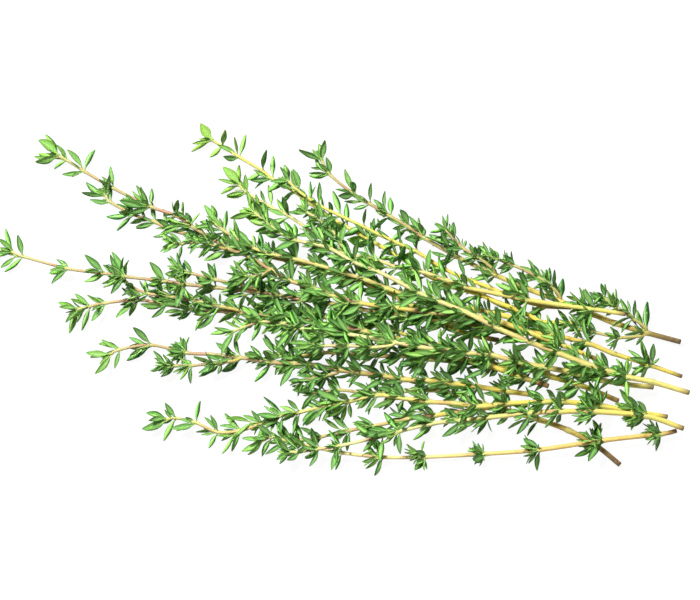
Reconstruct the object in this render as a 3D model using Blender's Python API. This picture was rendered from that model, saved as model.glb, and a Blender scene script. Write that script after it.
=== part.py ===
"""Thyme bundle: nineteen cut sprigs and their side shoots, lying in a loose heap.

All sizes are millimetres until a mesh is made. +Z is up, the cut ends point to +X and the growing
tips to -X. The origin is under the middle of the heap, on the surface that the heap lies on.

A sprig is a square, tapering stem with a pair of leaves at each node. It is built as one closed
body: the stem is a chain of square rings, and the leaves grow out of the stem's own side faces.
The sprigs are laid one after another, each resting on the ones below, and every leaf turns, folds
or shortens until it is clear of its neighbours.
"""
import math
import random

import bpy
import numpy as np
from mathutils import Quaternion, Vector
from mathutils.bvhtree import BVHTree

MM = 0.001
SEED = 11

# The middle of the heap, in the frame that the routes below are written in.
HEAP_CENTRE = (-1.8, -0.2)

# Stems. A radius runs from the axis to a corner of the square section.
SPRIG_RADIUS = 0.95
SHOOT_RADIUS = 0.6
TIP_RADIUS = 0.42
COLLAR = 0.9
PIECE_GAP = 0.3

# How the stems rest on each other and on the surface.
REST_HEIGHT = 2.4
CROSSING_LIFT = 2.9
CROSSING_REACH = 3.2
BEND = 1 / 420
SAMPLE_STEP = 1.5
SMOOTHING_PASSES = 3

# Leaves.
LEAF_LENGTH = (6.0, 9.0)
SHOOT_LEAF_LENGTH = (4.6, 7.0)
LEAF_WIDTH_RATIO = (0.2, 0.3)
LEAF_OPENING = (34, 66)
TIP_OPENING = (18, 48)
LEAF_ROLL = 16
LEAF_FLATTEN = 14
LEAF_TWIST = (0.55, 0.85)
LEAF_KEEL = 0.45
WIDEST_AT = 0.48
LEAF_ROOT = 0.35
ROLL_TRIES = (0, 18, -18, 36, -36, 54, -54)
OPENING_TRIES = (0, -14, 14, -26)
LENGTH_TRIES = (1.0, 0.8, 0.62)
NEIGHBOUR_RANGE = 21.5

# Colours, linear.
STEM_COLOUR = (0.62, 0.47, 0.13, 1)
SHOOT_COLOUR = (0.16, 0.33, 0.05, 1)

# Each sprig or shoot: its name, the sprig it grows from or None, and the plan (x, y) of its nodes
# from the cut end or the axil to the tip. A sprig rests on those listed before it.
ROUTES = (
    ("l", None, ((88.5, -53), (81, -47), (72, -42), (62.5, -38.5), (53.5, -36), (45, -33.5),
                 (37, -30.5), (27, -29), (17.5, -29.5), (8.5, -30), (-1.5, -29), (-6.5, -29.5),
                 (-10, -30))),
    ("r", None, ((51, -23), (40, -17.5), (27, -13.5), (17.5, -10.5), (10.5, -8.5), (1.5, -6.5),
                 (-6.5, -5.5), (-14.5, -3.5), (-21, -1.5), (-24.5, -0.5))),
    ("n", None, ((88, -32.5), (76, -27.5), (66, -24.5), (60, -22.5), (49.5, -21), (38.5, -20),
                 (27, -19), (19, -18), (11, -18), (1.5, -17.5), (-6.5, -17), (-14.5, -18),
                 (-19, -18), (-22.5, -17.5))),
    ("h", None, ((60.5, -30.5), (53, -29.5), (43, -28), (35, -27), (27, -26), (19, -25.5),
                 (13, -24.5), (5.5, -23.5), (-1.5, -22.5), (-9.5, -21), (-16, -20.5),
                 (-23.5, -20), (-33.5, -18.5), (-43, -17.5), (-51, -17), (-62.5, -14.5),
                 (-72.5, -16), (-75.5, -17.5))),
    ("h_shoot_1", "h", ((-33.5, -18.5), (-39.5, -20), (-49, -21), (-54.5, -21), (-57.5, -20.5))),
    ("h_shoot_2", "h", ((-1.5, -22.5), (-5.5, -24), (-9.5, -24.5), (-13.5, -26))),
    ("e", None, ((65, -27.5), (57.5, -25), (46, -21), (35, -18), (25.5, -15), (15.5, -12),
                 (6.5, -10), (0.5, -9), (-7.5, -7.5), (-14.5, -6.5), (-24, -5), (-33.5, -4),
                 (-41.5, -3.5), (-49, -3), (-57.5, -1.5), (-66.5, 0), (-77, -1), (-82, -2),
                 (-86, -3))),
    ("e_shoot_1", "e", ((-33.5, -4), (-40, -2), (-46.5, -0.5), (-55.5, 1), (-63, 2), (-68, 4),
                        (-70.5, 6))),
    ("p", None, ((49.5, -13), (40, -11), (30.5, -7), (21, -1.5), (13, 3), (5, 6), (-5, 9),
                 (-15, 12), (-26.5, 14.5), (-33.5, 17.5), (-45.5, 20), (-56, 22.5), (-61, 25),
                 (-68, 27.5), (-75.5, 31.5), (-77, 33.5))),
    ("m", None, ((62.5, -32.5), (52, -33.5), (40, -35.5), (29, -37), (21, -38), (9.5, -40.5),
                 (1.5, -42), (-7.5, -44), (-13, -45), (-17.5, -44))),
    ("k", None, ((106.5, -42), (101.5, -43), (82.5, -45), (62.5, -48), (45, -49.5), (26, -50.5),
                 (12, -50.5), (-1, -49), (-8.5, -47.5), (-14.5, -46), (-19, -45), (-23.5, -44),
                 (-26.5, -45))),
    ("o", None, ((78, -7.5), (68, -7.5), (57.5, -6.5), (46.5, -4), (35, -2), (24, 0.5),
                 (14, 3.5), (6.5, 6.5), (0, 8.5), (-8, 11), (-15.5, 13), (-22.5, 14.5),
                 (-29, 16.5), (-33.5, 19), (-38.5, 22), (-41.5, 24.5))),
    ("c", None, ((73, -13), (67, -10.5), (62.5, -7), (56, -3.5), (49.5, -1), (42.5, 2),
                 (33.5, 4.5), (26.5, 8), (18, 13.5), (9.5, 18.5), (0.5, 23.5), (-4.5, 26.5),
                 (-11, 31), (-16.5, 35), (-23.5, 39), (-26.5, 41.5), (-34, 46), (-39.5, 49.5),
                 (-43, 51.5))),
    ("d", None, ((108, -24.5), (98, -21), (85.5, -17), (78, -14), (67.5, -11.5), (56, -10),
                 (45, -9), (33.5, -7), (21.5, -5.5), (13.5, -4), (5.5, -3), (-5, -1), (-13, 0),
                 (-21, 1.5), (-28, 2.5), (-41.5, 4), (-51, 5), (-57.5, 6), (-70.5, 7.5),
                 (-77, 8.5), (-88.5, 10), (-103.5, 14), (-107, 15.5))),
    ("d_shoot_1", "d", ((-28, 2.5), (-33.5, 5), (-41.5, 6.5), (-49, 8.5), (-53, 9.5))),
    ("q", None, ((80.5, -19), (69.5, -14.5), (59, -10.5), (49.5, -7), (42.5, -5.5), (35, -4.5),
                 (28, -4), (16, -2.5), (5, -1), (-4, 1.5), (-9.5, 3.5), (-17, 6), (-23.5, 9.5),
                 (-31, 14), (-37.5, 16.5), (-41.5, 19), (-49, 23.5), (-54, 27), (-62.5, 30),
                 (-74.5, 36), (-84, 41.5), (-89.5, 45), (-92.5, 46.5))),
    ("q_shoot_1", "q", ((-37.5, 16.5), (-42, 17.5), (-46.5, 18.5), (-52, 18), (-54.5, 18))),
    ("q_shoot_2", "q", ((-23.5, 9.5), (-26.5, 8), (-30, 7.5), (-32.5, 7.5))),
    ("i", None, ((103.5, -37.5), (94.5, -36), (82.5, -34), (70.5, -32.5), (64, -32.5), (52, -33),
                 (43, -34), (35, -33), (27, -32.5), (19, -31.5), (10.5, -30.5), (1.5, -32.5),
                 (-4, -33.5), (-14.5, -36), (-20, -37), (-26.5, -39.5), (-33.5, -42),
                 (-41, -42.5), (-48, -39.5), (-54.5, -38), (-57.5, -38.5))),
    ("a", None, ((108, -13.5), (97, -10.5), (87, -7.5), (79.5, -4.5), (69.5, -0.5), (59, 3.5),
                 (48.5, 8), (36, 14), (25.5, 20), (20.5, 23.5), (14.5, 27), (8, 31), (3, 34),
                 (-5, 40.5), (-7.5, 45))),
    ("a_shoot_1", "a", ((97, -10.5), (92.5, -6), (87.5, -2.5), (83.5, 0.5))),
    ("a_shoot_2", "a", ((97, -10.5), (88, -12), (80.5, -10.5), (75.5, -9.5), (72, -8))),
    ("a_shoot_3", "a", ((69.5, -0.5), (66.5, 4), (62.5, 7), (54.5, 11), (49.5, 13), (46.5, 14))),
    ("a_shoot_4", "a", ((48.5, 8), (43, 13.5), (38, 16.5), (35, 19.5), (32.5, 22.5))),
    ("j", None, ((108, -41), (96, -37), (79.5, -35.5), (69, -35.5), (59, -36), (46, -37.5),
                 (37, -38.5), (28, -39.5), (17.5, -42), (12, -43.5), (-1.5, -46.5), (-8.5, -47.5),
                 (-14.5, -48.5), (-17.5, -48.5))),
    ("f", None, ((72.5, -2.5), (64, -2), (54.5, 0.5), (46.5, 4), (38.5, 7), (32, 10), (23, 15.5),
                 (17.5, 18), (11, 21), (6, 23.5), (-1.5, 27), (-8.5, 30.5), (-15, 35),
                 (-18, 38))),
    ("g", None, ((99, -28), (90, -27), (81.5, -25.5), (74.5, -23.5), (64, -21.5), (56, -20),
                 (46.5, -17.5), (39.5, -17), (32, -16), (24, -15), (16, -13.5), (1.5, -11),
                 (-5, -10.5), (-14.5, -9), (-19.5, -7.5), (-26.5, -7), (-32, -8.5),
                 (-35.5, -10))),
    ("g_shoot_1", "g", ((16, -13.5), (8.5, -15), (1.5, -14.5), (-6.5, -14.5), (-12, -14.5))),
    ("b", None, ((89.5, -4.5), (79.5, -3), (68, -1.5), (58.5, 0), (48.5, 2), (39, 4), (32, 6.5),
                 (24.5, 9), (17, 10.5), (9.5, 13), (1.5, 14.5), (-4.5, 17.5), (-10, 21.5),
                 (-18, 27), (-24, 30), (-31.5, 34.5), (-34, 37))),
    ("b_shoot_1", "b", ((1.5, 14.5), (-1.5, 18), (-3.5, 21.5), (-7.5, 25), (-12, 28))),
    ("y", None, ((109.5, -29.5), (97.5, -26), (90, -24.5), (83.5, -22.5), (77, -20.5), (68, -17),
                 (59, -13.5), (48.5, -9), (38.5, -4), (30, -0.5), (24, 2), (17.5, 5.5),
                 (10.5, 9), (3, 12), (-4, 16), (-8.5, 17.5), (-15.5, 19), (-20, 21),
                 (-23.5, 23.5), (-26.5, 26), (-29, 28))),
)

# Nodes that have lost their leaves.
BARE_NODES = {
    "a": (2,), "b": (2, 4), "c": (4,), "d": (2,), "f": (2,), "g": (1,), "h": (13,), "i": (7,),
    "l": (2,), "o": (1,), "y": (1, 11),
}

# Leaves with a size and opening of their own: stem, node and side face, then length, width and
# opening in degrees. Faces 0 and 3 look towards -Y, and faces 1 and 2 towards +Y.
OWN_LEAVES = {
    ("a", 1, 1): (10.4, 2.2, 45), ("a", 4, 2): (7.8, 2.2, 52), ("a", 8, 2): (5.8, 1.8, 46),
    ("a", 9, 1): (7.6, 2.0, 35), ("a", 10, 2): (7.2, 1.7, 59), ("a", 10, 0): (7.2, 1.3, 49),
    ("a", 12, 2): (6.2, 2.0, 38), ("a", 12, 0): (6.6, 2.0, 44), ("a", 13, 1): (6.2, 1.6, 46),
    ("a", 13, 3): (7.2, 1.8, 46), ("a", 14, 1): (6.8, 1.9, 22), ("a", 14, 2): (6.6, 1.9, 30),
    ("a_shoot_3", 2, 2): (5.2, 1.3, 35), ("a_shoot_3", 3, 1): (6.2, 1.3, 32),
    ("a_shoot_3", 4, 2): (4.6, 1.1, 40),
    ("b", 16, 1): (8.0, 2.5, 12),
    ("c", 9, 3): (10.4, 3.3, 18), ("c", 17, 1): (6.0, 1.8, 55), ("c", 17, 3): (5.6, 1.6, 56),
    ("c", 18, 1): (6.4, 2.6, 12),
    ("d", 3, 3): (7.0, 3.2, 18), ("d", 19, 1): (9.4, 1.9, 42), ("d", 21, 1): (7.4, 1.7, 60),
    ("f", 6, 2): (8.6, 2.0, 41), ("f", 9, 3): (7.0, 2.2, 26),
    ("h", 12, 0): (9.0, 2.3, 45), ("h", 15, 1): (9.6, 1.9, 45), ("h", 15, 3): (9.4, 2.2, 25),
    ("h", 17, 0): (8.6, 1.8, 38), ("h", 17, 1): (7.8, 1.9, 16),
    ("i", 18, 2): (7.6, 1.8, 61), ("i", 19, 1): (6.6, 1.5, 43), ("i", 20, 0): (8.4, 2.2, 22),
    ("k", 2, 2): (7.4, 1.7, 66), ("k", 2, 0): (8.8, 2.0, 24), ("k", 4, 0): (6.4, 2.5, 27),
    ("k", 4, 2): (6.8, 1.7, 22), ("k", 5, 3): (6.6, 2.0, 36), ("k", 5, 1): (5.6, 1.5, 50),
    ("n", 1, 3): (8.0, 2.6, 48),
    ("q", 19, 1): (7.0, 1.4, 40), ("q", 20, 2): (8.0, 1.6, 62), ("q", 20, 0): (7.2, 1.4, 46),
    ("q", 22, 1): (7.8, 2.8, 20), ("q", 22, 0): (7.4, 2.3, 44), ("q", 22, 3): (6.6, 2.0, 22),
    ("y", 2, 2): (8.8, 1.8, 60), ("y", 2, 0): (7.6, 2.0, 29),
}


def plan_route(nodes):
    """The plan nodes of one route, moved into the part's frame."""
    return np.array(nodes, float) - np.array(HEAP_CENTRE)


def samples_along(plan):
    """Points about SAMPLE_STEP apart along a plan route, with their distance from its start."""
    steps = np.linalg.norm(np.diff(plan, axis=0), axis=1)
    at_node = np.concatenate(([0.0], np.cumsum(steps)))
    count = max(8, int(at_node[-1] / SAMPLE_STEP))
    at = np.linspace(0.0, at_node[-1], count)
    points = np.column_stack([np.interp(at, at_node, plan[:, k]) for k in range(2)])
    return points, at, at_node


def lay_stem(plan, heap, start_height):
    """Heights of a stem at its nodes, resting on the surface and on the stems of the heap.

    A stem lifts over another one by CROSSING_LIFT where their axes cross, and by less as they
    pass further apart. It comes down again along a parabola, because it is stiff.
    """
    points, at, at_node = samples_along(plan)
    need = np.full(len(points), REST_HEIGHT)
    if len(heap):
        apart = np.linalg.norm(points[:, None, :] - heap[None, :, :2], axis=2)
        near = np.clip(1 - (apart / CROSSING_REACH) ** 2, 0, None)
        over = heap[None, :, 2] + CROSSING_LIFT * np.sqrt(near)
        need = np.maximum(need, np.where(near > 0, over, REST_HEIGHT).max(axis=1))
    if start_height is not None:
        freed = at < CROSSING_REACH
        need[freed] = np.minimum(need[freed], start_height)
    height = (need[None, :] - BEND * (at[:, None] - at[None, :]) ** 2).max(axis=1)
    for _ in range(SMOOTHING_PASSES):
        height[1:-1] = (height[:-2] + 2 * height[1:-1] + height[2:]) / 4
    if start_height is not None:
        height[0] = start_height
    laid = np.column_stack([points, height])
    return np.interp(at_node, at, height), laid


def stem_frame(forward):
    """Side and up directions across a stem that runs along forward."""
    up = Vector((0, 0, 1))
    up = (up - forward * up.dot(forward)).normalized()
    return up.cross(forward), up


class Stem:
    """One square stem: its nodes, directions, radii, rings of corners and leaves."""

    def __init__(self, name, parent, nodes):
        self.name = name
        self.is_shoot = parent is not None
        self.nodes = nodes
        self.random = random.Random(f"{SEED} {name}")
        self.leaves = {}
        count = len(nodes)
        start = SHOOT_RADIUS if self.is_shoot else SPRIG_RADIUS
        self.radii = [start + (TIP_RADIUS - start) * (k / (count - 1)) ** 1.5 for k in range(count)]
        self.forwards = [self.direction(k) for k in range(count)]

    def direction(self, k):
        before = self.nodes[max(k - 1, 0)]
        after = self.nodes[min(k + 1, len(self.nodes) - 1)]
        return (after - before).normalized()

    def ring(self, k, along):
        """The four corners of the stem's section at node k, moved along the stem."""
        side, up = stem_frame(self.forwards[k])
        centre = self.nodes[k] + self.forwards[k] * along
        corners = (side, up, -side, -up)
        return [centre + corner * self.radii[k] for corner in corners]

    def rings(self):
        """All rings from the cut end to the tip: one at the start, then two at each node."""
        every = [self.ring(0, 0.0)]
        for k in range(1, len(self.nodes)):
            every.append(self.ring(k, -COLLAR / 2))
            every.append(self.ring(k, COLLAR / 2))
        return every

    def tube(self):
        """The bare stem's faces, to test leaves against."""
        rings = self.rings()
        points = [point for ring in rings for point in ring]
        end = len(points) - 4
        faces = [(3, 2, 1, 0), (end, end + 1, end + 2, end + 3)]
        for r in range(len(rings) - 1):
            faces += [side_quad(4 * r, i) for i in range(4)]
        return BVHTree.FromPolygons(points, faces)


def side_quad(first, i):
    """The face between corners i and i + 1 of the ring that starts at first and the next ring."""
    j = (i + 1) % 4
    return (first + i, first + j, first + 4 + j, first + 4 + i)


def turned_direction(stem, k, angle):
    """The direction across the stem at an angle in degrees from its side, turning upwards."""
    side, up = stem_frame(stem.forwards[k])
    turn = math.radians(angle)
    return side * math.cos(turn) + up * math.sin(turn)


def flat_turn(along, face_normal):
    """The smallest turn about a leaf's axis that lays one of its two faces level."""
    level = Vector((0, 0, 1)) - along * along.z
    turn = math.atan2(face_normal.cross(level).dot(along), face_normal.dot(level))
    return math.remainder(turn, math.pi)


class Leaf:
    """One leaf of a stem: a keeled blade with a left, a right and a tip point.

    The leaf stands on one side face of the stem, rolled from it by some degrees, and opens away
    from the stem's tip. Its blade twists about its own axis, so that it lies nearly level.
    """

    def __init__(self, stem, k, face, roll, opening, length, width, twist):
        self.stem = stem
        forward = stem.forwards[k]
        low, high = stem.ring(k, -COLLAR / 2), stem.ring(k, COLLAR / 2)
        self.corners = (low[face], low[(face + 1) % 4], high[(face + 1) % 4], high[face])
        foot_height = stem.radii[k] * math.sqrt(0.5)
        self.root = stem.nodes[k] + turned_direction(stem, k, 45 + 90 * face) * foot_height
        outward = turned_direction(stem, k, 45 + 90 * face + roll)
        lean = math.radians(opening)
        self.along = forward * math.cos(lean) + outward * math.sin(lean)
        across = forward.cross(outward)
        turn = flat_turn(self.along, self.along.cross(across)) * twist
        self.across = Quaternion(self.along, turn) @ across
        self.outer = self.across.cross(self.along)
        middle = self.root + self.along * length * WIDEST_AT
        self.left = middle - self.across * width / 2
        self.right = middle + self.across * width / 2
        self.keel = middle + self.outer * LEAF_KEEL
        self.tip = self.root + self.along * length

    def points(self):
        return (self.left, self.right, self.tip, self.keel)

    def whole(self, margin):
        """The leaf's points and faces as far as the stem, made larger by margin."""
        grown = [
            self.left - self.across * margin,
            self.right + self.across * margin,
            self.tip + self.along * margin,
            self.keel + self.outer * margin,
        ]
        return [*self.corners, *grown], leaf_faces((0, 1, 2, 3), 4)

    def blade(self):
        """The leaf's points and faces without its foot, for tests on the same stem."""
        foot = self.root + self.along * LEAF_ROOT
        return [foot, *self.points()], [(0, 2, 4), (2, 3, 4), (3, 1, 4), (1, 0, 4), (0, 1, 2), (1, 3, 2)]


def is_clear(leaf, stems, leaves):
    """Whether a leaf stays above the surface and off the other stems and the accepted leaves."""
    if min(point.z for point in leaf.points()) < 0:
        return False
    for margin in (0.0, PIECE_GAP):
        probe = BVHTree.FromPolygons(*leaf.whole(margin))
        if any(stem is not leaf.stem and stem.tree.overlap(probe) for stem in stems):
            return False
    blade = BVHTree.FromPolygons(*leaf.blade())
    for other in leaves:
        if (other.root - leaf.root).length > NEIGHBOUR_RANGE:
            continue
        if other.stem is leaf.stem:
            if other.blade_tree.overlap(blade):
                return False
        elif other.whole_tree.overlap(probe):
            return False
    return True


def grow_leaf(stem, k, face, opening_range, stems, leaves):
    """Adds the first leaf that is clear of its neighbours, and none where there is no room."""
    draw = stem.random
    longest = SHOOT_LEAF_LENGTH if stem.is_shoot else LEAF_LENGTH
    length = draw.uniform(*longest)
    width = length * draw.uniform(*LEAF_WIDTH_RATIO)
    opening = draw.uniform(*opening_range)
    length, width, opening = OWN_LEAVES.get((stem.name, k, face), (length, width, opening))
    roll = draw.uniform(-LEAF_ROLL, LEAF_ROLL) + (LEAF_FLATTEN if face % 2 else -LEAF_FLATTEN)
    twist = draw.uniform(*LEAF_TWIST)
    for shorten in LENGTH_TRIES:
        for open_more in OPENING_TRIES:
            for turn in ROLL_TRIES:
                leaf = Leaf(stem, k, face, roll + turn, opening + open_more,
                            length * shorten, width * shorten, twist)
                if is_clear(leaf, stems, leaves):
                    leaf.whole_tree = BVHTree.FromPolygons(*leaf.whole(0.0))
                    leaf.blade_tree = BVHTree.FromPolygons(*leaf.blade())
                    leaves.append(leaf)
                    stem.leaves[k, face] = leaf
                    return


def grow_leaves(stems):
    """Leaf pairs at the nodes, each turned a quarter from the last, and four leaves at the tip."""
    leaves = []
    for stem in stems:
        last = len(stem.nodes) - 1
        for k in range(1, last):
            if k in BARE_NODES.get(stem.name, ()):
                continue
            for face in (k % 2, k % 2 + 2):
                grow_leaf(stem, k, face, LEAF_OPENING, stems, leaves)
        for face in range(4):
            grow_leaf(stem, last, face, TIP_OPENING, stems, leaves)


def leaf_faces(corners, first):
    """The faces of a leaf that stands on a side face of the stem.

    corners are the side face's four points, two at the cut side and two at the tip side, and
    first is the index of the leaf's left point, followed by its right, tip and keel points.
    """
    low_a, low_b, high_b, high_a = corners
    left, right, tip, keel = range(first, first + 4)
    return [
        (low_a, low_b, keel), (low_b, right, keel), (right, tip, keel), (tip, left, keel),
        (left, low_a, keel), (high_b, high_a, left), (high_b, left, right), (left, tip, right),
        (low_b, high_b, right), (high_a, low_a, left),
    ]


def stem_mesh(stem):
    """Points and faces of a stem with its leaves, as one closed body."""
    rings = stem.rings()
    points = [point for ring in rings for point in ring]
    faces = [(3, 2, 1, 0)]
    for r in range(len(rings) - 1):
        k = (r + 1) // 2
        is_collar = r % 2 == 1
        for i in range(4):
            corners = side_quad(4 * r, i)
            leaf = stem.leaves.get((k, i)) if is_collar else None
            if leaf:
                faces += leaf_faces(corners, len(points))
                points += leaf.points()
            else:
                faces.append(corners)
    end = 4 * (len(rings) - 1)
    faces.append((end, end + 1, end + 2, end + 3))
    return points, faces


def plain_material(name, colour, roughness):
    material = bpy.data.materials.new(name)
    material.use_nodes = True
    shader = material.node_tree.nodes["Principled BSDF"]
    shader.inputs["Base Color"].default_value = colour
    shader.inputs["Roughness"].default_value = roughness
    return material


def make_object(stem):
    """The Blender object of one sprig or shoot."""
    points, faces = stem_mesh(stem)
    name = f"sprig_{stem.name}"
    mesh = bpy.data.meshes.new(name)
    mesh.from_pydata([point * MM for point in points], [], faces)
    colour = SHOOT_COLOUR if stem.is_shoot else STEM_COLOUR
    mesh.materials.append(plain_material(name, colour, 0.6))
    mesh.validate()
    bpy.context.scene.collection.objects.link(bpy.data.objects.new(name, mesh))


def shoot_start(parent, nodes):
    """The point beside the parent's stem where a shoot begins, a gap away from it."""
    way = (nodes[1] - nodes[0]).normalized()
    k = min(range(len(parent.nodes)), key=lambda n: (parent.nodes[n] - nodes[0]).length)
    forward = parent.forwards[k]
    aside = (way - forward * way.dot(forward)).normalized()
    clear = parent.radii[k] + PIECE_GAP + SHOOT_RADIUS * 0.8
    return nodes[0] + aside * clear + forward * COLLAR


def lay_heap():
    """All stems in their places, from the lowest to the highest."""
    stems = []
    heap = np.zeros((0, 3))
    for name, parent_name, route in ROUTES:
        plan = plan_route(route)
        parent = next((stem for stem in stems if stem.name == parent_name), None)
        start_height = None
        if parent:
            starts = [(node.xy - Vector(plan[0])).length for node in parent.nodes]
            start_height = parent.nodes[starts.index(min(starts))].z
        heights, laid = lay_stem(plan, heap, start_height)
        nodes = [Vector((x, y, z)) for (x, y), z in zip(plan, heights)]
        if parent:
            nodes[0] = shoot_start(parent, nodes)
        stems.append(Stem(name, parent, nodes))
        heap = np.vstack([heap, laid])
    return stems


def main():
    for old in list(bpy.data.objects):
        bpy.data.objects.remove(old)
    stems = lay_heap()
    for stem in stems:
        stem.tree = stem.tube()
    grow_leaves(stems)
    for stem in stems:
        make_object(stem)


main()
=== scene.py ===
"""The looks of the thyme bundle: detailed stems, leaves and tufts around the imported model.

Places and lengths are millimetres until a mesh is made. The sprigs' routes, the way they rest on
each other and the places of the main leaves are those of the CAD model. Each stem and each set of
leaves here stands for the CAD solid of its sprig or shoot.
"""
import math
import random

import bpy
import numpy as np
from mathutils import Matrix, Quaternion, Vector
from mathutils.bvhtree import BVHTree


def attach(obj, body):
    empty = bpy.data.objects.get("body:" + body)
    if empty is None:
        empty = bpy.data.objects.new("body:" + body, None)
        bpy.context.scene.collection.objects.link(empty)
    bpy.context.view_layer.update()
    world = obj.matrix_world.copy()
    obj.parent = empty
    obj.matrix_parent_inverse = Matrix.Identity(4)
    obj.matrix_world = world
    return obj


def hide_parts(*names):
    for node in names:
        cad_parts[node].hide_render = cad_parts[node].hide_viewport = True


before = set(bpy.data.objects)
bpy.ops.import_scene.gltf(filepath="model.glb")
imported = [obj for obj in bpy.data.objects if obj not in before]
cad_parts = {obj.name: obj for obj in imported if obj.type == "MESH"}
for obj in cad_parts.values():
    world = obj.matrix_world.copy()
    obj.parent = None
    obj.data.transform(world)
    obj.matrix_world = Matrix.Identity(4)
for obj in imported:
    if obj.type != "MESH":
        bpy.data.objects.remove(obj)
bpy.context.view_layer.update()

MM = 0.001
SEED = 11

# The CAD model's sizes: the heap, the stems and the leaf pairs.
HEAP_CENTRE = (-1.8, -0.2)
SPRIG_RADIUS = 0.95
SHOOT_RADIUS = 0.6
TIP_RADIUS = 0.42
COLLAR = 0.9
PIECE_GAP = 0.3
REST_HEIGHT = 2.4
CROSSING_LIFT = 2.9
CROSSING_REACH = 3.2
BEND = 1 / 420
SAMPLE_STEP = 1.5
CAD_TAPER = 1.5
SMOOTHING_PASSES = 3
LEAF_LENGTH = (6.0, 9.0)
SHOOT_LEAF_LENGTH = (4.6, 7.0)
LEAF_WIDTH_RATIO = (0.2, 0.3)
LEAF_OPENING = (34, 66)
TIP_OPENING = (18, 48)
LEAF_ROLL = 16
LEAF_FLATTEN = 14
LEAF_TWIST = (0.55, 0.85)
LEAF_KEEL = 0.45
WIDEST_AT = 0.48
LEAF_ROOT = 0.35
ROLL_TRIES = (0, 18, -18, 36, -36, 54, -54)
OPENING_TRIES = (0, -14, 14, -26)
LENGTH_TRIES = (1.0, 0.8, 0.62)
CROWD_CELL = 12.0

# The faces of a whole leaf, over the four corners of its foot and its left, right, tip and keel
# points, and those of its blade, over its root, left, right, tip and keel points.
WHOLE_FACES = (
    (0, 1, 7), (1, 5, 7), (5, 6, 7), (6, 4, 7), (4, 0, 7), (2, 3, 4), (2, 4, 5), (4, 6, 5),
    (1, 2, 5), (3, 0, 4),
)
BLADE_FACES = ((0, 2, 4), (2, 3, 4), (3, 1, 4), (1, 0, 4), (0, 1, 2), (1, 3, 2))

# The tufts: very short spurs with pairs of small leaves, and a bud at each tip. A pair has its
# place on the spur and its length, both against the spur's size, and its opening. A kind of spur
# has its turn about its place round the stem, its opening, its size against the longest leaf's,
# its fewest and most pairs, and how often it is there where the tufts are thin and where they are
# full. FACE_ANGLES are the places of the leaves round the stem at even and at odd nodes.
SPUR_PAIRS = ((0.06, 0.95, 26), (0.26, 0.78, 18), (0.46, 0.5, 10))
AXIL_SPUR = (18, (6, 27), (0.45, 0.95), 1, 2.2, (0.85, 1.0))
TOP_SPUR = (25, (4, 20), (0.4, 0.7), 1, 1.4, (0.0, 0.45))
LATE_SPUR = (25, (5, 26), (0.45, 0.8), 1, 1.9, (0.1, 0.75))
FULL_MIDDLE = (17, -7)
FULL_REACH = (105, 48)
WIDE_SPUR = (15, (35, 80), (0.4, 0.64), 1, 1.2, (0.65, 0.65))
WIDE_ANGLES = (0, 40, 140, 180)
TOP_ANGLES = (70, 110)
FACE_ANGLES = ((45, 225), (135, 315))
PAIRS_RANGE = 0.4
SPUR_FOOT = 0.6
SPUR_YOUTH = (0.0, 0.4)
FULL_UNTIL = 0.75
FULL_GROWTH = 0.15
STALKED_CHANCE = 0.22
STALKED_SHIFT = 0.3
SPARSEST = 0.4
TOP_KEPT_CLEAR = 0.6
TOP_REACH = 5.6

# How full a sprig's tufts are and how long its spurs, against the others', and the nodes whose
# tufts are the fullest.
SPRIG_FULLNESS = {
    "a": 0.7, "b": 0.55, "c": 0.2, "e": 1.15, "f": 0.15, "g": 1.2, "h": 0.9, "i": 0.7, "k": 0.8,
    "l": 0.6, "m": 0.7, "n": 0.7, "o": 0.4, "q": 0.85, "y": 0.6,
}
SPUR_SIZES = {"j": 0.9, "k": 0.72}
FULL_NODES = {
    "a": (3,), "a_shoot_1": (2, 3), "a_shoot_3": (5,), "a_shoot_4": (4,), "b": (1, 3),
    "d": (1, 16, 18), "g": (6,), "h": (14,), "i": (1, 2), "j": (1, 2, 4, 5),
    "k": (1, 2, 3, 4, 5, 6), "l": (1, 12), "q": (16, 18), "y": (2, 3, 4, 5),
}
BUD_SIZE = 5.4
BUD_PAIRS = ((0.06, 0.8, 24), (0.14, 0.6, 12))
BUD_YOUTH = (0.2, 0.6)
SMALL_SIZE = (0.85, 1.15)
SMALL_LEAN = 7
SMALL_WIDTH_RATIO = (0.2, 0.28)
SMALL_TWIST = (0.1, 0.85)
SMALL_TRIES = (
    (0, 1.0), (25, 1.0), (-25, 1.0), (0, 0.8), (45, 0.9), (-45, 0.9), (20, 0.65), (-20, 0.65),
)
SMALL_LEAF_CLEAR = 0.3
CORE_WIDTH = 0.7
CORE_START = 0.25

# A spur's stalk: its section, how far it reaches, its radii from foot to end, and what it gives
# the leaves' material.
STALK_RADIUS = 0.32
STALK_SIDES = 6
STALK_INSIDE = 0.5
STALK_END = 0.5
STALK_TAPER = (1.0, 0.85, 0.6)
STALK_ROWS = (0, 0.4, 0.8)
STALK_BLADE = (0.05, 0.5, 0.0)
STALK_TINT = (0.7, 0.5)

# The visible stems: their section, how the nodes swell, and how finely they are built.
STEM_STEP = 0.8
STEM_SIDES = 12
STEM_SQUARENESS = 3.6
STEM_FULLNESS = 0.9
STEM_TAPER = 1.1
FOOT_THINNESS = 0.84
THICKENING = 30
AXIL_THINNESS = 0.55
AXIL_REACH = 2.0
MEAN_THICKNESS = 0.8
NODE_SWELL = 0.22
NODE_SWELL_LENGTH = 0.9
PITH_SIZE = 0.6
PITH_DEPTH = 0.12
STEM_TIP = 0.3
STREAK_SHORTENING = 0.12

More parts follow.
